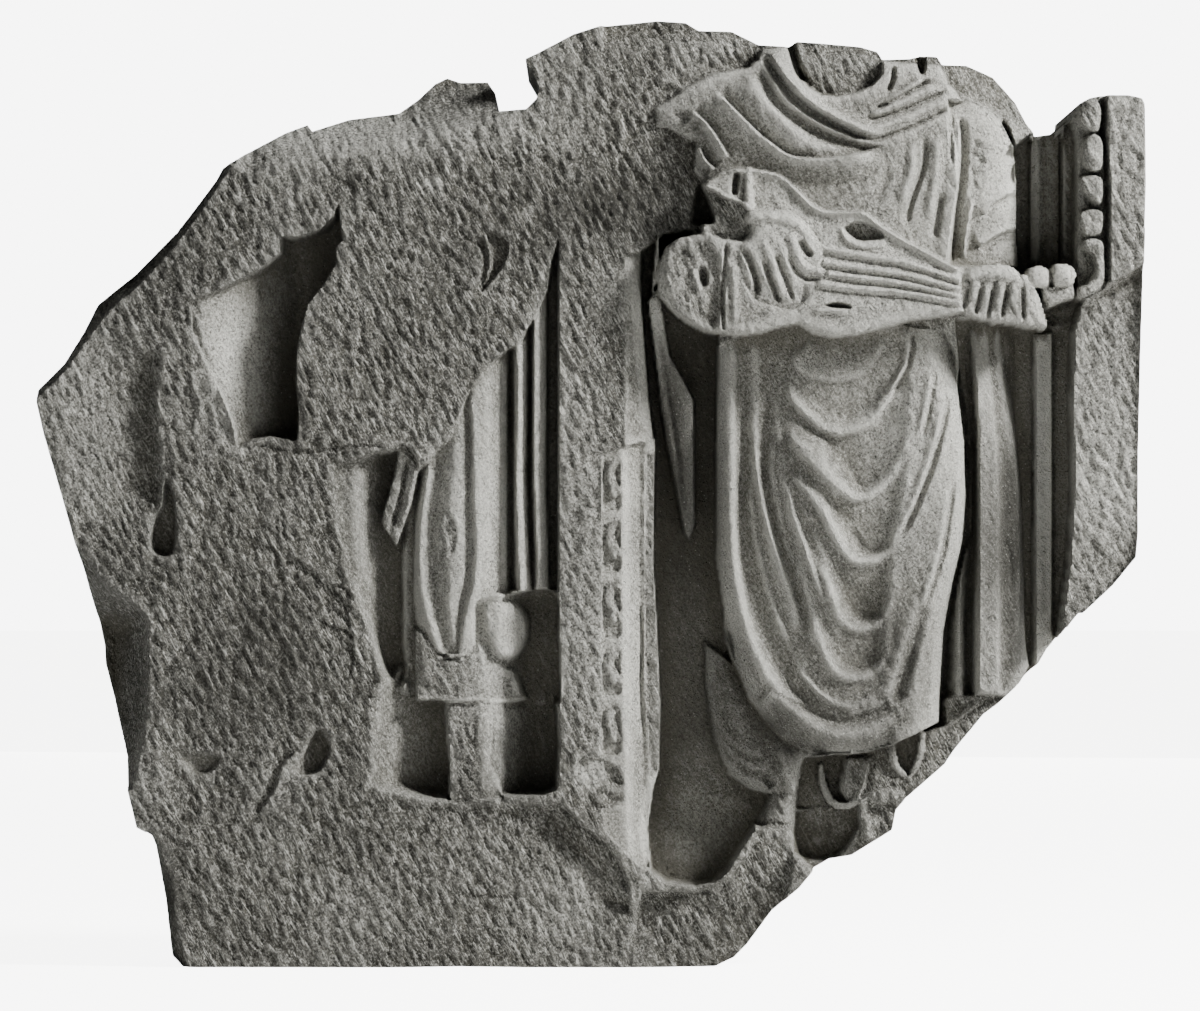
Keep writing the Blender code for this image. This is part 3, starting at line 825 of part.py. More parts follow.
def carve_right_post(s):
    """The broken post at the right edge, with the scrolled edge beside it."""
    s.shape([(1073, 330), (1080, 304), (1103, 290), (1143, 262), (1141, 325), (1138, 459), (1138, 545),
             (1136, 557), (1113, 585), (1082, 614), (1058, 642), (1062, 610), (1069, 560), (1073, 480),
             (1071, 400)], lambda x, y: 60 * UP + 1.0 * UP * lattice_noise(x, y, 40, 51, 1.2, 2), wall=3,
             rough=1.0,
            curved=False)
    s.shape([(1104, 92), (1145, 92), (1147, 184), (1146, 264), (1124, 277), (1104, 289), (1106, 200)],
            lambda x, y: 69 * UP + 0.8 * UP * lattice_noise(x, y, 40, 53, 1.2, 2), wall=3, rough=1.0,
            curved=False)
    s.shape([(1078, 94), (1104, 92), (1105, 288), (1090, 297), (1078, 304), (1074, 290), (1076, 140),
            (1070, 118)],
            61 * UP, wall=3, rough=0.8, curved=False)
    # Scrolls: each bulges to the left and hooks back to the post
    scrolls = [
        [(1079, 104), (1090, 99), (1100, 104), (1102, 120), (1098, 133), (1087, 133), (1078, 124),
         (1077, 112)],
        [(1084, 137), (1094, 133), (1103, 140), (1104, 156), (1102, 170), (1092, 174), (1082, 166),
         (1081, 150)],
        [(1078, 178), (1090, 174), (1102, 178), (1104, 192), (1100, 206), (1090, 203), (1081, 192)],
        [(1077, 214), (1088, 208), (1102, 211), (1104, 224), (1100, 236), (1086, 238), (1077, 228)],
        [(1080, 242), (1090, 237), (1103, 241), (1105, 256), (1104, 284), (1092, 295), (1076, 300),
         (1075, 288), (1086, 282), (1093, 268), (1091, 256), (1083, 252)],
    ]
    for scroll in scrolls:
        s.shape(scroll, 67.5 * UP, crown=3.5 * UP, round=9, wall=2.5, rough=1.0)
    s.stroke([(1102, 98), (1103, 118), (1102, 134), (1105, 152), (1107, 184), (1107, 230), (1107, 286)],
            -6 * UP, 3,
             0.04, 0.2)
    # Overhang of the post and the neck above the lower face
    s.fold([(1046, 313), (1076, 306), (1100, 293), (1120, 281), (1146, 265)], 1.5 * UP, 10, 5,
            2.0 * UP, 12, 0.08)


def carve_base(s):
    """The broken band below the figures."""
    s.shape([(60, 790), (240, 812), (374, 786), (460, 794), (520, 796), (556, 800), (568, 812), (584, 830),
             (606, 848), (622, 874), (627, 896), (650, 892), (700, 890), (640, 1000), (60, 1000)],
            lambda x, y: 58.5 * UP - 0.8 * UP * ease((y - 885) / 24)
            + 0.8 * UP * lattice_noise(x, y, 50, 61, 0.4, 2),
            wall=20, rough=1.0, curved=False, mode="cut")
    s.fold([(553, 801), (583, 829), (606, 848), (622, 874), (627, 900), (624, 918)][::-1],
            -4.5 * UP, 46, 5, 0, 1,
           0.1, 1.0)
    s.stroke([(440, 899), (500, 897), (560, 901), (622, 903)], -0.5 * UP, 3)


def carve_cracks(s):
    """Narrow cracks in the sheared surface."""
    for path, half in [
        ([(254, 542), (274, 546), (282, 562), (297, 557), (313, 572), (326, 583), (343, 585),
        (358, 601)], 3.0), ([(313, 615), (332, 624), (352, 633), (355, 655), (352, 683)], 2.5),
        ([(330, 585), (345, 600), (352, 633)], 2.0),
    ]:
        s.fold(path, 0.7 * UP, 14, 0.8 * half, 0.8 * UP, 3.5, 0.1)


def carve_arm(s):
    """Upper arm on the right, under its sleeve."""
    arm = [(946, 100), (970, 101), (988, 108), (1002, 122), (1012, 140), (1016, 160), (1017, 185),
           (1019, 200), (1019, 226), (1022, 268), (948, 268), (952, 230), (956, 190), (954, 150)]

    def sleeve(x, y):
        across = np.clip((x - 972) / 47.0, 0, 1)
        return (65.5 - 13 * (1 - np.sqrt(1 - 0.96 * across ** 2))) * UP - 5 * UP * ease((y - 190) / 60) \
            - 4 * UP * ease((122 - y) / 22)
    s.shape(arm, sleeve, wall=2, rough=0.25, curved=False)
    s.shape([(967, 140), (985, 138), (992, 160), (984, 190), (972, 196), (966, 170)],
            lambda x, y: 65 * UP + 0.6 * UP * lattice_noise(x, y, 9, 35), wall=8, rough=0.85)
    s.fold([(982, 214), (990, 204), (1002, 196), (1018, 190)], 2.2 * UP, 18, 4, 1.8 * UP, 12, 0.06)
    s.fold([(978, 246), (990, 238), (1005, 230), (1020, 226)], 2.0 * UP, 18, 4, 1.8 * UP, 12, 0.06)
    s.stroke([(986, 220), (996, 212), (1004, 206)], 1.6 * UP, 7, 0.3)


def carve_field_scoops(s):
    """Crescent pit and the broken pit beside it."""
    s.shape([(166, 742), (174, 758), (184, 771), (197, 779), (212, 774), (221, 758), (208, 752), (188, 750)],
            lambda x, y: 56.5 * UP - 3.5 * UP * ease((x - 176) / 40), wall=8, rough=0.3, mode="cut")
    s.shape([(318, 728), (329, 740), (331, 752), (320, 772), (300, 778), (284, 766), (298, 758), (306, 744)],
            lambda x, y: 58.5 * UP - 7 * UP * ease((x - 286) / 34), wall=5, rough=0.6, mode="cut")
    s.fold([(300, 752), (284, 766), (276, 790), (256, 820)], 1.0 * UP, 20, 5, 2.0 * UP, 8)


def flow_between(x, places, heights):
    """Heights that flow from one place to the next along a row, level at each crest and hollow."""
    gaps = np.maximum(np.diff(places), 0.001)
    slopes = np.diff(heights) / gaps
    before, after = slopes[:-1], slopes[1:]
    same = before * after > 0
    middle = np.where(same, 2 * before * after / np.where(same, before + after, 1.0), 0.0)
    bend = np.concatenate([slopes[:1], middle, slopes[-1:]])
    k = np.clip(np.searchsorted(places, x) - 1, 0, len(places) - 2)
    t = np.clip((x - places[k]) / gaps[k], 0.0, 1.0)
    return (heights[k] * (2 * t ** 3 - 3 * t ** 2 + 1) + heights[k + 1] * (3 * t ** 2 - 2 * t ** 3)
            + gaps[k] * (bend[k] * (t ** 3 - 2 * t ** 2 + t) + bend[k + 1] * (t ** 3 - t ** 2)))


def cloth_over(rails, across=False):
    """A surface laid over rails. Each point is x, y and height.

    The rails run down the face and come from left to right, or run across it and come from the top down.
    """
    along = 0 if across else 1
    rails = [smooth_path(rail) for rail in rails]

    def level(x, y):
        if across:
            x, y = y.T, x.T
        rows = y[:, 0]
        places = [np.interp(rows, rail[:, along], rail[:, 1 - along]) for rail in rails]
        places = np.maximum.accumulate(places)
        heights = np.array([np.interp(rows, rail[:, along], rail[:, 2]) for rail in rails])
        laid = UP * np.array([flow_between(x[i], places[:, i], heights[:, i]) for i in range(len(rows))])
        return laid.T if across else laid
    return level


def carve_stone(s):
    carve_field(s)
    carve_field_scoops(s)
    carve_left_recess(s)
    carve_left_figure(s)
    carve_base(s)
    carve_niche(s)
    carve_pilaster(s)
    carve_sleeve_tongue(s)
    carve_robe_side(s)
    carve_feet(s)
    carve_musician_robe(s)
    carve_musician_shoulders(s)
    carve_right_post(s)
    carve_instrument(s)
    carve_left_hand(s)
    carve_right_hand(s)
    carve_cracks(s)


def clear_scene():
    """Empties the scene."""
    for obj in list(bpy.data.objects):
        bpy.data.objects.remove(obj, do_unlink=True)


def stone_material():
    """Grey schist, matt."""
    material = bpy.data.materials.new("grey_schist")
    material.use_nodes = True
    shader = material.node_tree.nodes["Principled BSDF"]
    shader.inputs["Base Color"].default_value = SCHIST_GREY
    shader.inputs["Roughness"].default_value = SCHIST_ROUGHNESS
    shader.inputs["Metallic"].default_value = 0.0
    material.diffuse_color = SCHIST_GREY
    return material


def nearest_on_loop(x, y, loop):
    """The nearest points of a closed loop to the points given."""
    best = np.full(x.shape, np.inf)
    near_x, near_y = x.copy(), y.copy()
    for (x0, y0), (x1, y1) in zip(loop, np.roll(loop, -1, axis=0)):
        dx, dy = x1 - x0, y1 - y0
        t = np.clip(((x - x0) * dx + (y - y0) * dy) / (dx * dx + dy * dy), 0.0, 1.0)
        px, py = x0 + t * dx, y0 + t * dy
        far = (x - px) ** 2 + (y - py) ** 2
        nearer = far < best
        best = np.where(nearer, far, best)
        near_x = np.where(nearer, px, near_x)
        near_y = np.where(nearer, py, near_y)
    return near_x, near_y


def carved_grid(outline):
    """The carved face as a grid that reaches just past the outline, and which of its faces lie inside."""
    xs = np.arange(outline[:, 0].min() - GRID, outline[:, 0].max() + 2 * GRID, GRID)
    ys = np.arange(outline[:, 1].min() - GRID, outline[:, 1].max() + 2 * GRID, GRID)
    relief = Relief(xs, ys)
    carve_stone(relief)
    bm = bmesh.new()
    bmesh.ops.create_grid(bm, x_segments=len(xs) - 1, y_segments=len(ys) - 1, size=0.5)
    mesh = bpy.data.meshes.new("carved_grid")
    bm.to_mesh(mesh)
    bm.free()
    place = np.empty(len(mesh.vertices) * 3)
    mesh.vertices.foreach_get("co", place)
    place = place.reshape(-1, 3)
    col = np.rint((place[:, 0] + 0.5) * (len(xs) - 1)).astype(int)
    row = np.rint((place[:, 1] + 0.5) * (len(ys) - 1)).astype(int)
    x, y, height = relief.x[row, col], relief.y[row, col], relief.h[row, col]
    points = np.stack([(x - SHEET_CENTRE) * UNIT, BACK - height, (SHEET_FOOT - y) * UNIT], axis=1)
    mesh.vertices.foreach_set("co", points.ravel())
    corners = np.empty(len(mesh.polygons) * 4, dtype=int)
    mesh.polygons.foreach_get("vertices", corners)
    corners = corners.reshape(-1, 4)
    kept = inside(x[corners].mean(axis=1), y[corners].mean(axis=1), outline)
    return mesh, kept


def trim_to_outline(mesh, kept, outline):
    """Takes away the faces outside the outline and draws the edge left behind onto it."""
    bm = bmesh.new()
    bm.from_mesh(mesh)
    bmesh.ops.delete(bm, geom=[f for f, keep in zip(bm.faces, kept) if not keep], context="FACES")
    edge = [v for v in bm.verts if v.is_boundary]
    edge_x = np.array([v.co.x / UNIT + SHEET_CENTRE for v in edge])
    edge_y = np.array([SHEET_FOOT - v.co.z / UNIT for v in edge])
    near_x, near_y = nearest_on_loop(edge_x, edge_y, outline)
    for vert, px, py in zip(edge, near_x, near_y):
        vert.co.x = (px - SHEET_CENTRE) * UNIT
        vert.co.z = (SHEET_FOOT - py) * UNIT
    bmesh.ops.remove_doubles(bm, verts=bm.verts[:], dist=MERGE)
    bmesh.ops.dissolve_degenerate(bm, dist=MERGE, edges=bm.edges[:])
    bm.to_mesh(mesh)
    bm.free()


def thinned(mesh, collection):
    """The face with only as many facets as its carving needs."""
    sheet = bpy.data.objects.new("carved_sheet", mesh)
    collection.objects.link(sheet)
    thin = sheet.modifiers.new("thin_out", "DECIMATE")
    thin.ratio = min(1.0, FACET_COUNT / (2 * len(mesh.polygons)))
    thin.use_collapse_triangulate = True
    depsgraph = bpy.context.evaluated_depsgraph_get()
    face = bpy.data.meshes.new_from_object(sheet.evaluated_get(depsgraph))
    bpy.data.objects.remove(sheet, do_unlink=True)
    return face


def close_block(mesh):
    """Carries the edge of the face straight back to the back plane, and cuts the foot off flat."""
    bm = bmesh.new()
    bm.from_mesh(mesh)
    edge = [e for e in bm.edges if e.is_boundary]
    made = bmesh.ops.extrude_edge_only(bm, edges=edge)["geom"]
    rim = [g for g in made if isinstance(g, bmesh.types.BMEdge) and g.is_boundary]
    for vert in {v for e in rim for v in e.verts}:
        vert.co.y = BACK
    bmesh.ops.holes_fill(bm, edges=rim, sides=0)
    whole = bm.verts[:] + bm.edges[:] + bm.faces[:]
    bmesh.ops.bisect_plane(bm, geom=whole, dist=MERGE, plane_co=(0, 0, 0), plane_no=(0, 0, -1),
            clear_outer=True)
    bmesh.ops.holes_fill(bm, edges=[e for e in bm.edges if e.is_boundary], sides=0)
    bmesh.ops.triangulate(bm, faces=bm.faces[:])
    bmesh.ops.recalc_face_normals(bm, faces=bm.faces[:])
    bm.to_mesh(mesh)
    bm.free()


def make_fragment(collection):
    """The whole stone as one closed solid."""
    outline = np.asarray(OUTLINE, float)
    mesh, kept = carved_grid(outline)
    trim_to_outline(mesh, kept, outline)
    block = thinned(mesh, collection)
    close_block(block)
    block.name = "frieze_fragment"
    block.materials.clear()
    block.materials.append(stone_material())
    fragment = bpy.data.objects.new("frieze_fragment", block)
    collection.objects.link(fragment)


def main():
    clear_scene()
    collection = bpy.data.collections.new("frieze_fragment")
    bpy.context.scene.collection.children.link(collection)
    make_fragment(collection)


main()
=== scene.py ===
import math

import bmesh
import bpy
import mathutils
import numpy as np
from bpy.props import FloatProperty, FloatVectorProperty, IntProperty, PointerProperty
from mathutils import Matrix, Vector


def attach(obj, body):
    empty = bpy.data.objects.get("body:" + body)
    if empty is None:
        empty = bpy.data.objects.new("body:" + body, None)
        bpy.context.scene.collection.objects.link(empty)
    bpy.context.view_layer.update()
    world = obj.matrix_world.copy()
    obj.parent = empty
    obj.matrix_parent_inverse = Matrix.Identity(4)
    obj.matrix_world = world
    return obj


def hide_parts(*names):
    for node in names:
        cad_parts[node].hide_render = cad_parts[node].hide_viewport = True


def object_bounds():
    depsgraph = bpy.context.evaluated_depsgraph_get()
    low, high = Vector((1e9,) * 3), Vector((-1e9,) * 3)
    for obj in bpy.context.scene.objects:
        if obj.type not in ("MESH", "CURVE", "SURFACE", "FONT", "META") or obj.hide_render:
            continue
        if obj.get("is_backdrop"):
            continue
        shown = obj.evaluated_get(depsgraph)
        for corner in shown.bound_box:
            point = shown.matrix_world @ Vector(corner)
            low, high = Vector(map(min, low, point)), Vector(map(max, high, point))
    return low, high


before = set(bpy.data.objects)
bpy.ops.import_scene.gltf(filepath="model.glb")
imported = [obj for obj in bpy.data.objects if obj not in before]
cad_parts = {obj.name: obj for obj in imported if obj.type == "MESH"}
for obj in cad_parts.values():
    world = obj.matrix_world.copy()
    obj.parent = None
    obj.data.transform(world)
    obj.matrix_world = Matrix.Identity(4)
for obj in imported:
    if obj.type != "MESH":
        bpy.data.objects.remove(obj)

bl_info = {
    "name": "Frieze Fragment",
    "version": (1, 0, 0),
    "blender": (4, 5, 0),
    "location": "View3D > Sidebar > Frieze",
    "description": "Carves a broken schist frieze with a draped musician, and lights it in a studio",
    "category": "Add Mesh",
}

# Box of the plain block
CAD_LOW, CAD_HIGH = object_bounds()

# Sizes in metres: a millimetre, the gap that closes up, and the stone's width and depth
MM = 0.001
MERGE = 0.00001
STONE_WIDTH = 0.4436
STONE_DEPTH = 0.080

# Layout sheet: x to the right and y down, in units that are shares of the stone's width
SHEET_WIDTH = 1109.0
SHEET_CENTRE = 591.5
SHEET_FOOT = 968.0
UNIT = STONE_WIDTH / SHEET_WIDTH
BACK = STONE_DEPTH / 2

# Least width of a form's wall, in cells of the grid
LEAST_WALL = 1.4

# Weathering of the face: size, seed, angle and stretch of each grain, and its height in sheet units
WEATHER = [(3.6, 91, 1.1, 2.4, 1.9), (7.0, 92, 0.9, 1.7, 0.6), (24.0, 93, 1.1, 1.3, 0.8)]

# Share of the weathering that carved stone shows
CARVED_GRAIN = 0.15

# Paler patches of painted light and darker ones of painted shade, with some uneven tone: middle, reach across
# and down in sheet units, and strength
PAINTED_LIGHT_AND_TONE = [
    (1115, 440, 60, 180, 0.85), (1122, 190, 40, 110, 0.4), (85, 450, 70, 120, 0.3),
    (370, 135, 120, 28, 0.95), (620, 205, 120, 45, -0.8), (250, 630, 110, 90, -0.45),
    (580, 360, 60, 100, 0.25), (735, 115, 80, 50, 0.3), (985, 165, 50, 80, 0.4), (900, 280, 100, 50, 0.75),
    (775, 228, 45, 25, 0.45), (930, 460, 60, 120, 0.45), (460, 540, 60, 120, 0.4), (900, 430, 40, 60, 0.3),
    (560, 900, 130, 40, 0.2), (680, 520, 45, 200, -0.6), (434, 183, 9, 6, 2.0), (528, 211, 8, 7, 1.6),
    (239, 198, 4, 5, 1.8), (171, 655, 4, 4, 1.6), (590, 772, 16, 12, 1.4), (168, 900, 12, 60, -0.9),
    (800, 720, 80, 45, -0.45), (760, 770, 50, 40, -0.4), (775, 815, 25, 30, -0.4), (670, 430, 16, 110, -0.4),
    (1014, 520, 16, 190, -1.0), (986, 520, 18, 190, -0.6), (905, 640, 50, 90, -0.6),
    (286, 385, 14, 65, -1.3), (325, 255, 16, 45, -1.0), (226, 365, 20, 60, 0.9), (700, 740, 70, 28, -0.35),
    (742, 665, 18, 40, -0.5), (775, 722, 24, 24, -0.6), (820, 748, 36, 16, -0.6), (880, 748, 30, 14, -0.5),
    (760, 270, 110, 40, 0.3), (680, 290, 30, 40, 0.25), (890, 480, 40, 110, 0.3), (928, 190, 18, 60, -0.3),
    (590, 600, 30, 180, 0.4), (515, 720, 50, 15, 0.3), (440, 460, 20, 80, 0.25), (480, 560, 20, 110, 0.4),
    (640, 620, 12, 200, 0.5), (180, 240, 60, 50, -0.2), (980, 165, 50, 60, 0.3), (780, 250, 70, 40, 0.3),
    (360, 190, 30, 50, -0.35), (480, 250, 50, 20, -0.3),
]

# Uneven tone between the patches: strength, size in sheet units and seed
PATINA_CHANCE = (0.3, 70, 81)

# Hollows, which take painted shade, and raised edges, which take wear and painted highlight: reach, in sheet
# units, over which they are told from their surroundings, and the depth and height at which they count in
# full
WIDE_HOLLOW = 26.0
NEAR_HOLLOW = 5.0
HOLLOW_DEPTH = 9 * MM
WEAR_AND_HIGHLIGHT_HEIGHT = 0.7 * MM

# Share of the wear and painted highlight on raised edges that broken stone doesn't show
ROUGH_LOSS = 0.75

# Broken sides: their mean radius, the share of the height that they turn about, the mean dent, the strength,
# size and seed of the uneven dents, and the share of the dents that is left at the back
SIDE_RADIUS = 0.2
SIDE_MIDDLE = 0.45
MEAN_DENT = 0.5
SIDE_DENTS = [(0.3, 42, 71), (0.2, 17, 72)]
BACK_DENT = 0.5

# Dressed back and foot: how squarely a facet has to face back or down, and its material
DRESSED = 0.98
DRESSED_SLOT = 1

# Angle from which an edge is sharp
SHARP_ANGLE = math.radians(50)

# Schist: angles of its cleavage and of the tooling on its back, strength of the tooling against the grain,
# depth of the grain, sheen, and the tone of its shade as a share of the broken colour
CLEAVAGE_TURN = math.radians(-62)
TOOLING_TURN = math.radians(38)
TOOLING_SHARE = 1.3
GRAIN_DEPTH = 0.0014
SCHIST_SHEEN = 0.25
SHADE = 0.32

# Sockets for colour on the mix node, which has others for numbers and vectors
MIX_SHARE = 0
MIX_UNDER = 6
MIX_OVER = 7
MIX_RESULT = 2

# Studio
FLOOR_RADIUS = 9.0
WHITE = (1.0, 1.0, 1.0, 1.0)

# Camera: the picture it frames, in sheet units, the height of the face it is square to, and its film
PHOTO_WIDE = 1200
PHOTO_TALL = 1011
FACE_HEIGHT = 0.062
SENSOR = 36.0

# Broken outline of the stone
OUTLINE = np.array([
    (36, 402), (37, 390), (63, 364), (82, 333), (96, 304), (134, 274), (176, 232), (197, 205), (216, 180),
    (222, 168), (245, 153), (285, 131), (306, 123), (311, 130), (348, 118), (398, 112), (417, 98), (434, 81),
    (446, 75), (459, 80), (487, 80), (495, 92), (497, 111), (526, 109), (536, 99), (540, 90), (536, 78),
    (525, 59), (536, 54), (574, 34), (600, 26), (657, 20), (686, 22), (699, 30), (732, 31), (759, 45),
    (787, 47), (797, 42), (826, 44), (860, 47), (877, 52), (882, 60), (910, 59), (920, 56), (937, 57),
    (942, 65), (967, 65), (994, 76), (1017, 101), (1028, 122), (1038, 134), (1050, 132), (1063, 131),
    (1068, 119), (1077, 116), (1079, 104), (1090, 98), (1101, 96), (1128, 96), (1141, 99), (1145, 107),
    (1145, 184), (1143, 264), (1141, 325), (1138, 459), (1138, 532), (1136, 557), (1113, 585), (1082, 614),
    (1050, 650), (1042, 664), (1000, 704), (985, 715), (956, 750), (946, 765), (906, 800), (897, 811),
    (893, 831), (853, 857), (830, 861), (814, 870), (799, 888), (772, 911), (747, 945), (734, 958),
    (715, 967), (600, 969), (459, 967), (337, 969), (226, 973), (203, 974), (184, 970), (170, 958),
    (165, 903), (155, 846), (151, 836), (136, 828), (127, 790), (125, 758), (111, 712), (99, 666), (98, 647),
    (82, 570), (64, 505), (44, 436),
], float)

# Lines beyond which the face falls away at the left: its ledge, then its steep sides from the top down
LEDGE = [(222, 160), (231, 164), (252, 174), (275, 165), (360, 150), (440, 132), (500, 118), (524, 108)]
UPPER_LEFT_SIDE = [(30, 404), (60, 376), (90, 336), (112, 308), (142, 282), (176, 244), (196, 218),
                   (233, 164)]
MIDDLE_LEFT_SIDE = [(132, 790), (139, 762), (146, 725), (148, 690), (149, 650), (147, 618), (128, 598),
                    (106, 584), (90, 560), (72, 540)]
LOWER_LEFT_SIDE = [(196, 985), (186, 952), (176, 915), (168, 874), (158, 838), (150, 828)]

# Top and bottom of each leaf panel
LEAF_PANELS = [(458, 513), (520, 574), (581, 640), (650, 698), (705, 757), (765, 792)]


def smooth_path(points, steps=6, closed=False):
    """A polyline through the points, rounded as a Catmull-Rom curve."""
    p = np.asarray(points, float)
    if closed:
        p = np.vstack([p[-1], p, p[0], p[1]])
    else:
        p = np.vstack([2 * p[0] - p[1], p, 2 * p[-1] - p[-2]])
    t = np.arange(steps)[:, None] / steps
    parts = []
    for a, b, c, d in zip(p, p[1:], p[2:], p[3:]):
        parts.append(0.5 * (2 * b + (c - a) * t + (2 * a - 5 * b + 4 * c - d) * t ** 2
                            + (3 * b - 3 * c + d - a) * t ** 3))
    if not closed:
        parts.append(p[-2][None, :])
    return np.vstack(parts)


def ease(t):
    """Smooth step from 0 to 1."""
    t = np.clip(t, 0.0, 1.0)
    return t * t * (3.0 - 2.0 * t)


def measure(x, y, path):
    """Distance to a path, the side of it (+1 on the right of travel) and the share travelled."""
    best = np.full(x.shape, np.inf)
    side = np.ones_like(x)
    along = np.zeros_like(x)
    steps = np.hypot(*np.diff(path, axis=0).T)
    total = max(steps.sum(), 1e-9)
    start = 0.0
    for (x0, y0), (x1, y1), length in zip(path, path[1:], steps):
        if length < 1e-9:
            continue
        dx, dy = (x1 - x0) / length, (y1 - y0) / length
        t = np.clip((x - x0) * dx + (y - y0) * dy, 0.0, length)
        ex, ey = x - x0 - t * dx, y - y0 - t * dy
        far = ex * ex + ey * ey
        near = far < best
        best[near] = far[near]
        side[near] = np.where(dx * ey - dy * ex >= 0, 1.0, -1.0)[near]
        along[near] = ((start + t) / total)[near]
        start += length
    return np.sqrt(best), side, along


def inside(x, y, loop):
    """True where a point lies within a closed loop."""
    within = np.zeros(x.shape, bool)
    for (x0, y0), (x1, y1) in zip(loop, np.roll(loop, -1, axis=0)):
        crosses = (y0 > y) != (y1 > y)
        with np.errstate(divide="ignore", invalid="ignore"):
            at = x0 + (y - y0) * (x1 - x0) / (y1 - y0)
        within ^= crosses & (x < at)
    return within


def lattice_noise(x, y, scale, seed, angle=0.0, stretch=1.0):
    """Smooth value noise between -1 and 1, stretched along an angle."""
    ca, sa = np.cos(angle), np.sin(angle)
    u = (x * ca + y * sa) / (scale * stretch)
    v = (-x * sa + y * ca) / scale
    table = np.random.default_rng(seed).random((256, 256)) * 2.0 - 1.0
    iu, iv = np.floor(u).astype(int), np.floor(v).astype(int)
    fu, fv = ease(u - iu), ease(v - iv)
    a = table[iu % 256, iv % 256]
    b = table[(iu + 1) % 256, iv % 256]
    c = table[iu % 256, (iv + 1) % 256]
    d = table[(iu + 1) % 256, (iv + 1) % 256]
    return (a * (1 - fu) + b * fu) * (1 - fv) + (c * (1 - fu) + d * fu) * fv


def to_sheet(across, up):
    """Places on the layout sheet, from places on the stone's face."""
    return across / UNIT + SHEET_CENTRE, SHEET_FOOT - up / UNIT


def to_stone(x, y):
    """Places across and up the stone's face, from places on the layout sheet."""
    return (x - SHEET_CENTRE) * UNIT, (SHEET_FOOT - y) * UNIT


def slope(level, change, x=None, y=None, reach=1.0):
    """A level that eases to another past a place across or down; with a negative reach, before it."""
    def height(px, py):
        return level + change * ease((py - y) / reach if x is None else (px - x) / reach)
    return height


def flaked(level, height, *grain):
    """A level with uneven flakes on it: their height, and their size, seed, angle and stretch."""
    return lambda x, y: level + height * lattice_noise(x, y, *grain)


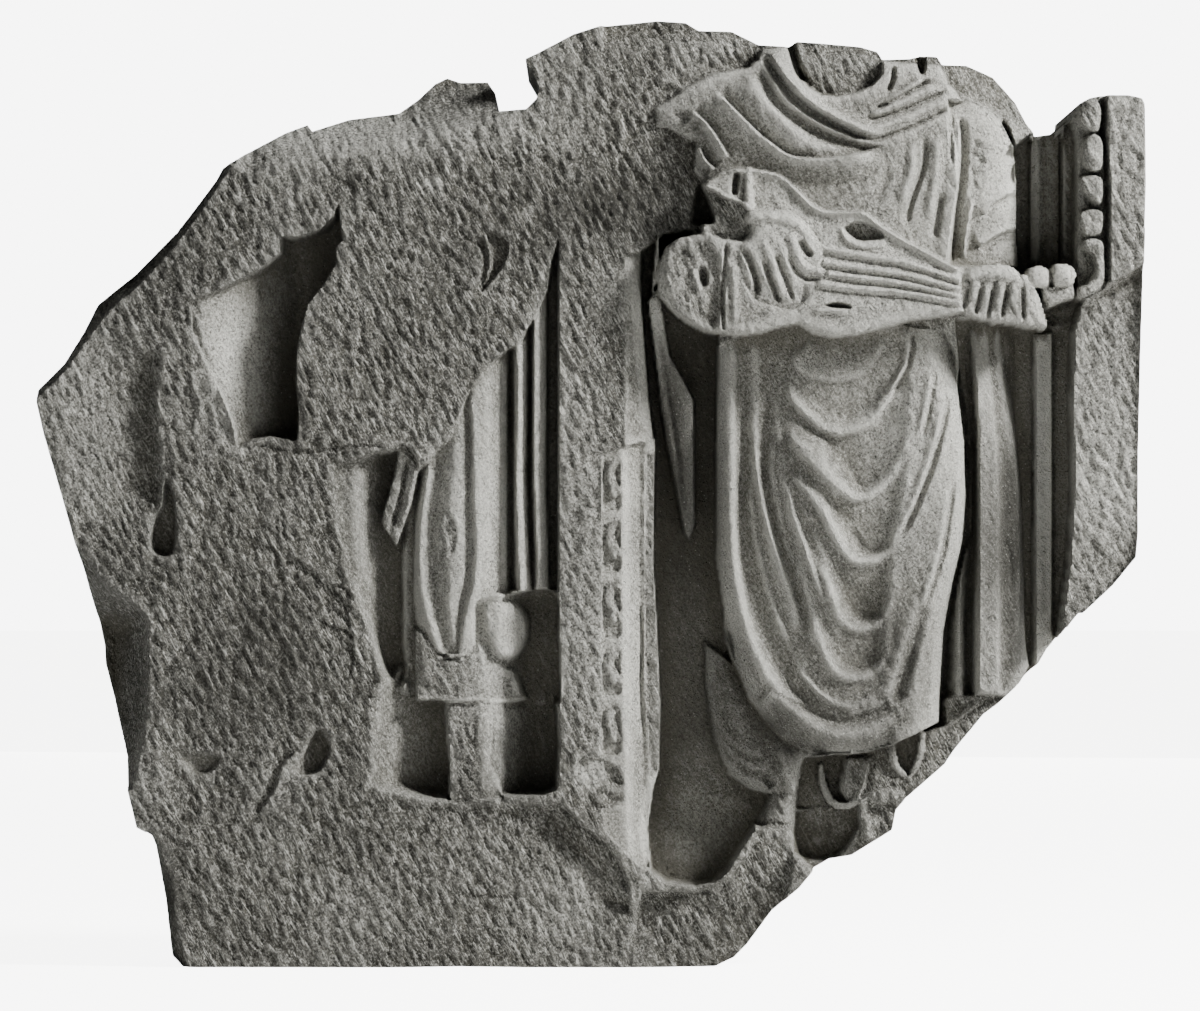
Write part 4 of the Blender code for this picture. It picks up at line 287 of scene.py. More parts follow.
class Relief:
    """Height of the stone's face above its back plane, over a grid of sheet units.

    Each form is given by points on the sheet, and by heights in millimetres.
    """

    def __init__(self, xs, ys):
        self.x, self.y = np.meshgrid(xs, ys)
        self.h = np.zeros_like(self.x)
        self.rough = np.ones_like(self.x)
        self.step = (xs[1] - xs[0], ys[1] - ys[0])
        self.low = (xs[0], ys[0])

    def window(self, path, reach):
        """The part of the grid within reach of a path."""
        low = path.min(axis=0) - reach
        high = path.max(axis=0) + reach
        c0, c1 = [int((v - self.low[0]) / self.step[0]) for v in (low[0], high[0])]
        r0, r1 = [int((v - self.low[1]) / self.step[1]) for v in (low[1], high[1])]
        rows, cols = self.x.shape
        return np.s_[max(r0, 0):max(min(r1 + 2, rows), 0), max(c0, 0):max(min(c1 + 2, cols), 0)]

    def shape(self, points, level, crown=0.0, round=10.0, wall=2.0, rough=None, mode="set", curved=True):
        """Lays a form with a steep wall along its outline: a plain level, or one rounded up by a crown."""
        loop = smooth_path(points, 5, closed=True) if curved else np.asarray(points, float)
        part = self.window(loop, 2)
        x, y = self.x[part], self.y[part]
        within = inside(x, y, loop)
        if not within.any():
            return
        depth, _, _ = measure(x, y, np.vstack([loop, loop[:1]]))
        new = MM * (level(x, y) if callable(level) else level)
        t = np.clip(depth / round, 0.0, 1.0)
        new = new + MM * crown * np.sqrt(1.0 - (1.0 - t) ** 2)
        old = self.h[part]
        if mode == "cut":
            new = np.minimum(new, old)
        weight = ease(depth / max(wall, LEAST_WALL * self.step[0])) * within
        self.h[part] = old + (new - old) * weight
        if rough is not None:
            self.rough[part] += (rough - self.rough[part]) * weight

    def block(self, points, level, **settings):
        """Lays a form whose outline runs straight from point to point."""
        self.shape(points, level, curved=False, **settings)

    def stroke(self, points, height, half, taper=0.15, flat=0.0, rough=None):
        """A rounded ridge, or a groove where the height is negative."""
        path = smooth_path(points)
        part = self.window(path, half + 1)
        far, _, along = measure(self.x[part], self.y[part], path)
        t = np.clip((far - flat * half) / (half * (1.0 - flat)), 0.0, 1.0)
        ends = ease(np.minimum(along, 1.0 - along) / taper) if taper else 1.0
        profile = 0.5 + 0.5 * np.cos(np.pi * t)
        self.h[part] += MM * height * profile * ends
        if rough is not None:
            self.rough[part] += (rough - self.rough[part]) * profile

    def fold(self, points, height, rise, fall, dip=0.0, recover=8.0, taper=0.18, power=1.6):
        """A fold of cloth: a slow rise to the crest on the left of travel, a sharp drop on its right."""
        height, dip = MM * height, MM * dip
        path = smooth_path(points)
        reach = max(rise, fall + recover) + 1
        part = self.window(path, reach)
        far, side, along = measure(self.x[part], self.y[part], path)
        up = np.clip(1.0 - far / rise, 0.0, 1.0) ** power
        drop = ease(1.0 - far / fall)
        below = ease(far / fall) * (1.0 - ease((far - fall) / recover))
        ends = ease(np.minimum(along, 1.0 - along) / taper) if taper else 1.0
        self.h[part] += np.where(side > 0, height * drop - dip * below, height * up) * ends

    def lean(self, points, rate, reach):
        """Lets the face fall away on the left of a path, at a rate for each sheet unit."""
        path = smooth_path(points)
        part = self.window(path, reach)
        far, side, along = measure(self.x[part], self.y[part], path)
        between = (along > 0.0) & (along < 1.0)
        self.h[part] -= MM * rate * np.minimum(far, reach) * (side < 0) * between

    def tube(self, points, radius, top, rough=None, squash=1.0):
        """A round roll or finger laid on the face; radius and top may change along it."""
        path = smooth_path(points)
        radii = np.atleast_1d(np.asarray(radius, float))
        tops = MM * np.atleast_1d(np.asarray(top, float))
        part = self.window(path, radii.max() + 1)
        far, _, along = measure(self.x[part], self.y[part], path)
        r = np.interp(along, np.linspace(0, 1, len(radii)), radii)
        crest = np.interp(along, np.linspace(0, 1, len(tops)), tops)
        t = np.clip(far / r, 0.0, 1.0)
        roll = crest - squash * r * UNIT * (1.0 - np.sqrt(1.0 - t ** 2))
        old = self.h[part]
        covers = (far < r) & (roll > old)
        self.h[part] = np.where(covers, roll, old)
        if rough is not None:
            self.rough[part] = np.where(covers, rough, self.rough[part])


def carve_field(s):
    """The broken front of the block, and the way it falls off at its edges."""
    x, y = s.x, s.y
    s.h[:] = 62 * MM
    s.h -= 2.0 * MM * ease((260 - x) / 220)
    s.h -= 2.0 * MM * ease((y - 500) / 300) * ease((480 - x) / 200)
    s.h += 1.2 * MM * lattice_noise(x, y, 150, 1) + 0.8 * MM * lattice_noise(x, y, 60, 2, 1.1, 1.8)
    # Ledge along the upper left edge, facing up
    s.lean(LEDGE, 0.5, 60)
    # Steep sides at the left, facing away from the carving
    s.lean(UPPER_LEFT_SIDE, 0.9, 30)
    s.lean(MIDDLE_LEFT_SIDE, 1.1, 40)
    s.lean(LOWER_LEFT_SIDE, 1.0, 40)
    # Slab below the faint step across the middle stands a little prouder
    s.block([(190, 470), (210, 452), (297, 452), (345, 446), (405, 446), (400, 520), (372, 560), (352, 610),
             (392, 700), (380, 800), (260, 850), (160, 840), (150, 700), (180, 560)],
            lambda x, y: 61.5 - 1.5 * ease((300 - x) / 120) - 2.5 * ease((y - 640) / 160), wall=22)
    s.stroke([(235, 452), (262, 446), (297, 453), (345, 447), (400, 446)], -0.9, 3.5)
    # Valley down the left edge
    s.fold([(152, 330), (146, 385), (148, 440), (152, 490), (160, 530)], -5.5, 12, 90, 0, 1, 0.25, 1.0)
    s.shape([(165, 476), (176, 498), (177, 540), (170, 557), (155, 556), (148, 545), (152, 520), (160, 505)],
            53, wall=6, mode="cut", rough=0.7)


def carve_left_recess(s):
    """The deep pocket left in the sheared surface."""
    pocket = [(338, 200), (343, 240), (336, 247), (337, 262), (323, 285), (308, 304), (302, 325), (297, 350),
              (296, 382), (299, 413), (297, 441), (270, 437), (252, 441), (237, 449), (233, 424), (220, 392),
              (203, 360), (190, 330), (190, 300), (220, 289), (260, 268), (279, 253), (280, 236), (296, 237),
              (319, 230), (334, 216)]

    def floor(x, y):
        middle = 46.4 + 6.1 * np.clip((y - 300) / 140, -0.3, 1)
        near = np.clip((253 - x) / 52, 0, 1)
        far = np.clip((x - 253) / 40, 0, 1)
        return (middle + (59 - middle) * near - 13 * far) + 0.4 * lattice_noise(x, y, 30, 7)
    s.block(pocket, floor, wall=3.0, rough=0.3)
    s.stroke([(194, 302), (204, 345), (222, 392), (234, 426), (238, 446)], 0.8, 7, rough=0.9)


def carve_left_figure(s):
    """What is left of the draped figure beside the pilaster."""
    # Smooth ground left of the sleeve, falling away to the right
    s.shape([(330, 470), (350, 458), (395, 448), (412, 460), (416, 560), (414, 660), (400, 690), (380, 672),
             (360, 610), (342, 560)], slope(59, -16, x=352, reach=44), wall=10, rough=0.5,
            mode="cut")
    s.block([(424, 462), (404, 480), (397, 560), (397, 640), (404, 703), (450, 703), (450, 474)], 49, wall=8,
            rough=0.4)
    drapery = [
        [(422, 440, 52), (417, 480, 51), (412, 520, 51), (410, 600, 51), (418, 656, 53)],
        [(434, 440, 58.5), (430, 462, 58.8), (426, 490, 58.8), (421, 530, 58.6), (420, 570, 58.6),
         (424, 600, 58.8), (432, 628, 59), (440, 656, 58)],
        [(440, 440, 58), (439, 462, 57.4), (435, 500, 56.8), (432, 540, 56.6), (433, 570, 56.8),
         (436, 600, 56.8), (442, 630, 56.6), (447, 656, 56.8)],
        [(449, 430, 60), (446, 462, 59.8), (441, 500, 59.2), (438, 540, 59.2), (440, 570, 59),
         (443, 600, 58.6), (447, 630, 57.5), (450, 656, 56)],
        [(457, 420, 61.2), (455, 470, 61.6), (453, 520, 61.8), (452, 560, 61.2), (451, 600, 60.2),
         (452, 630, 59), (454, 656, 57)],
        [(463, 395, 60), (464.5, 440, 60.8), (464.5, 500, 60.8), (465, 540, 60.4), (463, 580, 59.8),
         (458, 605, 59), (456, 640, 58), (455.2, 656, 57.4)],
        [(466.5, 395, 58.8), (468, 440, 58.8), (468, 500, 58.6), (469, 540, 58.2), (467, 580, 57.6),
         (461, 605, 57), (457.4, 640, 57), (455.8, 656, 57)],
        [(471, 385, 61.5), (474, 440, 62.5), (475, 500, 62.5), (477, 540, 62), (475, 580, 61.5),
         (469, 605, 61), (463, 630, 60), (459, 656, 58)],
        [(485, 370, 60.6), (486, 440, 61), (486, 500, 60.8), (487, 540, 60.2), (484, 590, 59.6),
         (479, 620, 59), (476, 656, 58)],
        [(495, 358, 57), (496, 440, 57), (495, 500, 57), (495, 540, 56.4), (494, 590, 55.6), (486, 620, 55),
         (481, 656, 54.6)],
        [(505, 350, 53), (506, 440, 52.6), (506, 500, 52.6), (506, 560, 52), (506, 600, 50), (500, 656, 50)],
    ]
    s.block([(506, 350), (496, 358), (484, 369), (471, 385), (466, 397), (458, 416), (448, 438), (434, 452),
             (420, 470), (413, 520), (411, 600), (418, 650), (440, 656), (478, 658), (498, 640), (512, 600),
             (515, 480), (514, 346)], cloth_over(drapery), wall=2.5, rough=0.38)
    s.shape([(438, 514), (450, 512), (459, 530), (455, 555), (444, 566), (436, 545)],
            flaked(60.5, 0.6, 12, 17), wall=6, rough=1.0, mode="cut")
    # Standing folds beside the pilaster
    folds = [
        [(505, 340, 52.6), (506, 440, 52.6), (506, 595, 51)],
        [(509.5, 335, 45), (510, 440, 45), (511, 595, 45)],
        [(517, 330, 58.5), (517.5, 400, 59), (517, 480, 59), (518, 540, 58.6), (521, 595, 58)],
        [(525.5, 315, 55.5), (526, 400, 55), (525, 480, 55), (527.5, 540, 54.5), (530, 595, 54)],
        [(529.5, 310, 46), (529, 400, 45), (529, 480, 45), (530.5, 540, 45), (532.5, 595, 45)],
        [(535, 300, 59.5), (535, 400, 59.5), (535, 480, 59), (537, 540, 58.5), (538, 595, 58)],
        [(544.5, 285, 55.5), (545, 400, 54.5), (544, 480, 54.5), (546.5, 540, 54), (548, 595, 53.5)],
        [(549, 262, 42), (549, 400, 41), (549, 480, 41), (550.5, 595, 41)],
        [(558, 240, 40), (558, 400, 40), (558, 595, 40)],
    ]
    s.block([(559, 236), (551, 262), (547, 290), (529, 325), (516, 345), (506, 350), (506, 592), (559, 592)],
            cloth_over(folds), wall=1.5, rough=0.4)
    # Hanging sleeve tongue
    sleeve = [(399, 444), (412, 450), (419, 468), (414, 500), (406, 524), (397, 547), (389, 538), (380, 522),
              (385, 500), (392, 475)]
    s.shape(sleeve, slope(58, -2, y=480, reach=60), crown=1.6, round=8, wall=2,
            rough=0.85)
    s.stroke([(408, 455), (401, 492), (391, 530)], -2.4, 4)
    s.stroke([(416, 462), (410, 495), (400, 530)], 1.0, 4)
    # Pockets on both sides of the leg's stump
    s.block([(466, 690), (558, 690), (561, 745), (558, 790), (545, 796), (520, 797), (480, 800), (466, 765)],
            slope(55, -23, x=490, reach=48), wall=6, rough=0.5)
    s.shape([(396, 662), (378, 684), (371, 716), (368, 768), (374, 790), (470, 797), (470, 690), (414, 690),
             (408, 668)], lambda x, y: 58 - 17 * ease((x - 366) / 74)
            - 3 * ease((y - 700) / 80), wall=14, rough=0.5)
    # Soft ground under the ends of the folds
    s.shape([(476, 600), (516, 591), (557, 591), (560, 640), (560, 704), (440, 704), (440, 664), (470, 650)],
            lambda x, y: 33 + 22 * ease((530 - x) / 40) + 10 * ease((612 - y) / 24), wall=4, rough=0.4)
    # Smooth strip and broken patch below the knee
    s.shape([(478, 640), (486, 650), (497, 664), (514, 668), (524, 690), (522, 704), (450, 704), (460, 684),
             (464, 660)], slope(56.5, -9, x=480, reach=40), wall=6, rough=0.4)
    # Rounded end of the leg's drapery
    s.shape([(481, 600), (500, 596), (518, 600), (530, 616), (531, 636), (524, 654), (510, 664), (496, 660),
             (487, 646), (480, 624)], slope(56.5, -8.5, x=496, reach=34), crown=1.5, round=20,
            wall=8, rough=0.4)
    s.stroke([(484, 636), (489, 652), (499, 664), (508, 667)], -1.2, 4, 0.2)
    s.block([(413, 627), (428, 634), (438, 652), (450, 656), (474, 654), (476, 668), (468, 688), (458, 702),
             (414, 703)], flaked(57.5, 0.8, 15, 18, 1.2, 2), wall=3,
            rough=0.9)
    s.stroke([(416, 632), (418, 660), (419, 700)], -1.2, 4)
    s.stroke([(437, 652), (447, 659), (458, 656)], -1.8, 3)
    s.stroke([(415, 699), (440, 703), (470, 700), (500, 702), (524, 700)], 2.0, 5, 0.08)
    # Stump of the leg: broken in front, smooth on its right
    stump = [
        [(441, 704, 44), (444, 740, 42), (448, 790, 44)],
        [(448, 704, 56), (450, 740, 56), (454, 790, 56)],
        [(474, 704, 57), (474, 740, 57), (476, 790, 56.5)],
        [(481, 704, 57.6), (481, 740, 57.4), (483, 790, 57)],
        [(494, 704, 56.2), (493, 740, 55.8), (497, 790, 55.5)],
    ]
    s.block([(441, 702), (494, 702), (493, 740), (492, 765), (500, 780), (505, 800), (446, 802), (448, 780),
             (444, 740)], cloth_over(stump), wall=2, rough=0.45)
    s.shape([(446, 710), (474, 711), (476, 760), (474, 800), (448, 800), (448, 756)],
            flaked(57, 0.8, 16, 19, 1.2, 2), wall=2, rough=1.0)
    # Splinter low in the sheared face above
    s.stroke([(478, 236), (486, 262), (478, 296)], -2.2, 5)
    s.shape([(486, 232), (508, 240), (506, 262), (490, 285), (481, 290), (490, 262)], 58.5, wall=4,
            mode="cut")


def carve_pilaster(s):
    """The pilaster: a broken face, a column of sunk leaf panels and a fillet."""
    face = [(557, 200), (632, 200), (632, 452), (601, 452), (601, 800), (587, 832), (566, 806), (560, 780),
            (557, 600)]
    s.block(face, flaked(62, 0.8, 45, 11, 1.2, 2), wall=3)
    # Right side: a bright bevel, then a broken strip beside the niche
    upper = [
        [(624, 240, 62), (625, 350, 62), (625, 452, 62)],
        [(627, 240, 61), (628, 350, 61), (629, 452, 61)],
        [(634, 240, 57), (642, 350, 56.5), (648, 452, 55)],
        [(638, 240, 52), (650, 350, 51), (660, 452, 50)],
    ]
    s.block([(624, 252), (640, 252), (644, 310), (650, 393), (657, 452), (624, 452)], cloth_over(upper),
            wall=2, rough=0.5)
    lower = [
        [(600, 440, 61), (600, 640, 61), (601, 800, 61)],
        [(621, 440, 61), (622, 640, 61), (626, 800, 61), (630, 872, 60.5)],
        [(624, 440, 60.5), (625, 640, 60.5), (628, 800, 60.5), (632, 872, 60)],
        [(634, 440, 55), (637, 640, 55), (640, 800, 55), (642, 872, 54)],
        [(640, 440, 53.8), (641, 640, 53.6), (645, 800, 53.2), (648, 872, 52)],
        [(646, 440, 54.5), (646, 640, 54.5), (650, 800, 53.5), (652, 872, 52)],
        [(656, 440, 52.5), (658, 640, 52.5), (659, 800, 51), (656, 872, 50)],
    ]
    s.block([(601, 452), (657, 437), (655, 560), (658, 609), (660, 655), (662, 701), (661, 770), (655, 790),
             (649, 830), (652, 872), (640, 868), (622, 850), (604, 832), (600, 800)], cloth_over(lower),
             wall=1.5,
            rough=0.3)
    s.block([(645, 452), (656, 452), (655, 560), (658, 609), (660, 655), (662, 701), (661, 770), (650, 780),
             (645, 700), (643, 600)], flaked(53.5, 0.8, 14, 12, 1.4, 3),
            wall=3, rough=0.9)
    s.stroke([(639, 600), (642, 640), (640, 690), (644, 740)], -1.6, 2.5, 0.2)
    for top, bottom in LEAF_PANELS:
        carve_leaf(s, 602, 621, top, bottom)
    s.shape([(575, 762), (600, 756), (622, 770), (626, 800), (600, 812), (578, 806)],
            flaked(60.5, 1.2, 10, 13), wall=5, rough=0.8)


def carve_leaf(s, left, right, top, bottom):
    """One sunk panel with a curled leaf in its upper part and a bud at its tip."""
    tall = bottom - top
    s.block([(left, top + 4), (right, top), (right + 1, bottom - 6), (right - 3, bottom - 1), (left, bottom)],
            59.6, wall=2.5, rough=0.3)
    s.tube([(right - 1, top + 0.06 * tall), (left + 9, top + 0.14 * tall), (left + 7, top + 0.34 * tall),
            (left + 12, top + 0.52 * tall), (right - 1, top + 0.66 * tall)], [4.5, 6.5, 7, 5.5, 3.5],
           [60.9, 61.6, 61.9, 61.7, 61.2], rough=0.8)
    s.tube([(right - 9, top + 0.58 * tall), (right - 7, top + 0.66 * tall)], 3.4, 62, rough=0.6)
    s.stroke([(right - 3, top + 0.22 * tall), (left + 11, top + 0.3 * tall), (left + 12, top + 0.46 * tall)],
             -0.9, 3, 0.2)


def carve_niche(s):
    """The sunk ground behind the standing musician."""
    left = [(640, 250), (664, 232), (692, 228), (720, 300), (724, 560), (728, 640), (756, 720), (792, 756),
            (864, 776), (864, 854), (800, 854), (797, 862), (786, 840), (756, 828), (740, 853), (727, 874),
            (716, 883), (697, 888), (667, 885), (650, 873), (640, 815), (646, 770), (647, 655), (644, 560),
            (646, 437), (641, 393), (636, 307)]
    s.block(left, slope(30, 3, y=780, reach=90), wall=4, rough=0.35)
    right = [(1000, 90), (1026, 124), (1040, 140), (1066, 134), (1084, 118), (1084, 250), (1084, 300),
             (1082, 340), (1080, 600), (1074, 650), (1050, 700), (1020, 740), (985, 760), (956, 790),
             (920, 820), (896, 812), (880, 800), (900, 740), (940, 640), (960, 340), (1010, 300)]
    s.block(right, slope(38, -6, x=1005, reach=12), wall=3, rough=0.4)
    # Ground under the musician, broken off towards the lower right
    s.block([(860, 740), (925, 730), (967, 716), (1010, 690), (1020, 740), (990, 780), (946, 800), (920, 840),
             (900, 860), (853, 880), (820, 880), (790, 850), (790, 800), (820, 760)],
            lambda x, y: 42 + 7 * ease((x - 850) / 40) + 1.2 * lattice_noise(x, y, 30, 21),
            wall=4, rough=0.9)
    # Upright mouldings at the back of the right recess
    for x0, x1, level in [(1017, 1033, 30), (1033, 1064, 35), (1064, 1084, 38)]:
        s.block([(x0, 80), (x1, 80), (x1, 300), (x0, 300)], level, wall=2.5, rough=0.25)
    s.stroke([(1040, 130), (1040, 300)], 1.2, 4, 0.0)
    s.stroke([(1048, 130), (1048, 300)], -0.8, 3, 0.0)
    for x0, x1, level in [(1016, 1037, 29), (1037, 1057, 36), (1057, 1084, 30)]:
        s.block([(x0, 330), (x1, 330), (x1, 700), (x0, 700)], level, wall=2.5, rough=0.25)


def carve_sleeve_tongue(s):
    """Hanging sleeve end between the pilaster and the musician."""
    s.block([(646, 300), (660, 282), (671, 354), (686, 380), (696, 400), (697, 524), (691, 542), (684, 536),
             (664, 437)], slope(52, -6, y=300, reach=240), crown=3, round=8, wall=2,
            rough=0.35)
    s.stroke([(655, 320), (670, 400), (688, 520)], -1.6, 4)
    s.block([(655, 233), (662, 233), (661, 272), (654, 296), (650, 290)], 56, wall=1.5, rough=0.2)


def carve_musician_robe(s):
    """Lower robe of the musician, from the waist to the hem."""
    robe = [(717, 345), (715, 450), (715, 560), (720, 590), (726, 635), (734, 664), (748, 700), (764, 722),
            (782, 741), (801, 751), (819, 756), (847, 757), (869, 754), (895, 746), (925, 732), (942, 724),
            (943, 690), (947, 630), (956, 582), (966, 540), (969, 500), (967, 440), (961, 394), (955, 352),
            (944, 330), (860, 318), (760, 326)]
    down_the_robe = [
        [(714, 330, 50), (714, 450, 50), (716, 560, 50), (722, 610, 50), (734, 664, 49), (752, 704, 49),
         (780, 740, 48), (800, 756, 47)],
        [(722, 340, 55), (721, 450, 58), (723, 560, 59), (730, 610, 59), (744, 660, 58), (764, 700, 57),
         (790, 729, 56), (808, 748, 54)],
        [(731, 345, 57), (731, 450, 61), (732, 540, 62.5), (738, 590, 63), (749, 635, 63), (766, 675, 62.5),
         (786, 700, 62), (807, 720, 61), (822, 742, 57)],
        [(741, 345, 53), (742, 450, 54), (743, 540, 54.5), (750, 590, 55), (763, 635, 56), (780, 668, 56.5),
         (798, 691, 57), (816, 708, 58), (832, 730, 58)],
        [(757, 345, 55), (756, 450, 57.5), (760, 500, 59.5), (772, 545, 60.5), (783, 580, 60.5),
         (793, 610, 60), (803, 640, 60), (812, 665, 60), (822, 690, 60), (838, 715, 59)],
        [(764, 345, 54), (764, 450, 56), (769, 500, 57), (781, 545, 58), (792, 580, 58.5), (801, 610, 58.5),
         (811, 640, 59), (821, 665, 59), (831, 690, 59), (846, 712, 59)],
        [(777, 345, 55), (778, 420, 59), (781, 470, 62), (788, 510, 63), (799, 545, 64), (811, 585, 64.5),
         (821, 620, 64), (826, 650, 63), (836, 670, 62), (850, 695, 60)],
        [(830, 345, 60), (838, 430, 63), (848, 520, 63), (856, 620, 62), (866, 730, 60)],
        [(884, 335, 64), (892, 400, 65), (900, 480, 65), (893, 560, 63.6), (885, 640, 61.6),
         (880, 720, 60.5)],
        [(925, 335, 65), (935, 400, 66), (938, 480, 66), (930, 560, 65), (918, 640, 63), (912, 725, 61.5)],
        [(948, 340, 58), (954, 400, 61), (958, 480, 61.5), (955, 540, 60.5), (942, 590, 59.5),
         (934, 640, 58.5), (931, 720, 57)],
        [(958, 345, 50), (964, 400, 52), (970, 480, 52), (967, 540, 51), (956, 590, 50), (947, 640, 49),
         (944, 720, 48)],
    ]
    s.block(robe, cloth_over(down_the_robe), wall=2.0, rough=0.42)
    # Cloth that hangs in deep loops over the front
    loops = [(786, 352), (806, 336), (850, 330), (884, 328), (906, 334), (915, 350), (914, 400), (912, 440),
             (906, 500), (897, 545), (892, 600), (889, 640), (888, 684), (868, 708), (845, 716), (818, 706),
             (796, 682), (789, 660), (800, 636), (803, 600), (797, 560), (790, 510), (783, 460), (779, 400)]
    over_the_loops = [
        [(775, 330, 57), (850, 322, 59), (930, 322, 62)],
        [(787, 351, 58), (801, 369, 61), (827, 379, 61.5), (856, 376, 61.8), (870, 364, 62.4),
         (884, 345, 63.5), (930, 330, 64)],
        [(787, 357, 57.5), (801, 375, 59.6), (827, 385, 60), (856, 382, 60.4), (872, 371, 61.2),
         (888, 350, 63), (930, 335, 64)],
        [(783, 372, 58), (801, 390, 59.5), (827, 406, 60), (850, 411, 60), (872, 400, 60.8), (890, 374, 62.5),
         (930, 340, 64)],
        [(780, 386, 59), (797, 406, 63), (820, 427, 64), (843, 433, 63.8), (868, 423, 63.2), (885, 402, 63.8),
         (902, 372, 65), (930, 345, 65)],
        [(780, 393, 58), (797, 413, 60.5), (820, 434, 61), (843, 440, 61), (870, 430, 61), (888, 410, 62),
         (906, 380, 64), (930, 352, 65)],
        [(780, 415, 59), (798, 430, 62), (815, 435, 62.5), (830, 443, 61), (842, 457, 59.6), (852, 471, 59),
         (862, 484, 59.4), (878, 474, 61), (893, 455, 63), (910, 425, 65), (930, 400, 65)],
        [(780, 432, 61), (800, 450, 66), (815, 466, 68), (832, 482, 68.5), (846, 494, 66.5), (858, 499, 64.4),
         (876, 492, 63.6), (892, 474, 64), (906, 450, 65.4), (930, 420, 65)],
        [(780, 444, 61), (800, 464, 64), (815, 481, 65.5), (832, 494, 65.5), (846, 503, 63), (860, 506, 61.2),
         (878, 499, 61.2), (895, 482, 62.6), (909, 460, 64.5), (930, 432, 65)],
        [(784, 462, 62), (806, 482, 65), (819, 489, 65.5), (834, 505, 62.4), (847, 524, 59.6),
         (857, 542, 58.6), (870, 549, 59), (884, 544, 61), (898, 522, 63.5), (912, 490, 65), (930, 455, 65)],
        [(784, 470, 63), (806, 490, 66.5), (820, 507, 68), (829, 524, 68.5), (838, 542, 67.5),
         (848, 556, 65.4), (860, 562, 63.6), (875, 560, 62.8), (893, 546, 63.4), (908, 515, 65),
         (930, 470, 65)],
        [(784, 486, 62.5), (806, 508, 65), (820, 527, 65.5), (829, 543, 65.5), (840, 557, 64), (850, 566, 62),
         (862, 571, 60.2), (877, 569, 60.2), (896, 556, 62), (911, 525, 64.5), (930, 485, 65)],
        [(790, 510, 63), (812, 545, 65), (826, 564, 65), (837, 580, 61), (846, 598, 57.4), (860, 611, 56.4),
         (875, 611, 57), (887, 600, 59.5), (902, 570, 63), (930, 510, 64)],
        [(790, 522, 64), (812, 558, 66), (826, 582, 66.8), (835, 604, 66), (843, 621, 63), (855, 630, 61.4),
         (870, 628, 61), (884, 618, 61.5), (900, 590, 63.4), (930, 530, 64)],
        [(790, 545, 63), (812, 585, 63.6), (826, 612, 63.6), (835, 627, 62), (845, 634, 60.2), (857, 638, 59),
         (872, 636, 59), (887, 626, 60.6), (903, 600, 63), (930, 550, 63)],
        [(800, 590, 62), (818, 620, 63), (831, 643, 60), (842, 660, 57.8), (856, 667, 57.2), (870, 663, 57.8),
         (884, 652, 60), (900, 620, 62.5), (930, 570, 63)],
        [(800, 606, 62.5), (817, 634, 64), (826, 658, 63.8), (837, 674, 62.4), (850, 679, 61.2),
         (866, 676, 60.8), (880, 667, 61), (900, 640, 62.5), (930, 590, 63)],
        [(790, 640, 60), (806, 660, 60.5), (822, 676, 60), (836, 684, 59.6), (850, 687, 59.4),
         (867, 684, 59.4), (882, 675, 60.5), (902, 650, 62), (930, 600, 62)],
        [(784, 650, 59.5), (801, 669, 60), (822, 690, 59.6), (845, 699, 59.2), (866, 695, 59.2),
         (884, 684, 60), (903, 660, 62)],
        [(784, 655, 60), (801, 674, 61.4), (822, 695, 61.8), (843, 708, 61.6), (864, 704, 61.2),
         (884, 692, 61.2), (904, 670, 62)],
        [(784, 662, 59), (801, 682, 59), (822, 703, 59), (843, 715, 59), (864, 711, 59), (885, 699, 60),
         (905, 680, 61)],
        [(784, 690, 58.5), (806, 706, 58.5), (825, 720, 58.6), (843, 724, 58.8), (864, 720, 58.8),
         (886, 708, 60), (906, 690, 61)],
    ]
    s.block(loops, cloth_over(over_the_loops, across=True), wall=13, rough=0.42)
    # Rolled lower hem
    over_the_hem = [
        [(756, 664, 57), (784, 690, 57), (806, 706, 57), (825, 719, 57.6), (843, 722, 58), (864, 718, 58.6),
         (900, 702, 60)],
        [(756, 678, 62.5), (784, 703, 62.2), (806, 721, 62.2), (824, 732, 62.2), (843, 735, 62),
         (862, 732, 61.8), (900, 716, 61.4)],
        [(756, 692, 60), (784, 718, 59), (806, 736, 58.4), (824, 745, 58), (843, 748, 57.4), (869, 746, 57.4),
         (900, 734, 58.4)],
        [(756, 712, 52), (784, 742, 50), (801, 752, 49), (819, 758, 48), (847, 760, 48), (869, 757, 48),
         (900, 748, 49)],
    ]
    s.block([(766, 688), (790, 696), (822, 712), (843, 716), (866, 710), (888, 700), (898, 716), (895, 747),
             (869, 755), (847, 758), (819, 757), (801, 752), (782, 742), (764, 722), (756, 706)],
            cloth_over(over_the_hem, across=True), wall=6, rough=0.42)
    # Folds that hang from the left arm
    for path, height in [
        ([(756, 440), (757, 470), (762, 500), (772, 540), (784, 576), (796, 606), (804, 634)], 1.5),
        ([(748, 470), (752, 520), (762, 570), (778, 622), (792, 652)], 1.0),
        ([(786, 480), (792, 510), (804, 548), (816, 584), (826, 610)], 1.6),
        ([(770, 430), (772, 480), (782, 530), (794, 570)], 0.9),
    ]:
        s.fold(path[::-1], height, 7, 6, 0.8, 8, 0.2)
    # Grooves between the long folds on the right
    for path, depth, half in [
        ([(913, 328), (911, 356), (902, 378), (890, 396)], -1.8, 4),
        ([(950, 392), (942, 430), (931, 468), (921, 494), (910, 520), (897, 542)], -2.2, 5),
        ([(954, 476), (950, 510), (944, 548), (935, 580), (924, 612)], -1.8, 4.5),
        ([(927, 600), (915, 640), (905, 672), (896, 706)], -2.8, 11),
        ([(936, 370), (929, 410), (922, 440)], -1.0, 4),
    ]:
        s.stroke(path, depth, half, 0.15)
        s.stroke([(x - half - 1, y) for x, y in path], 0.9, half + 1, 0.2)


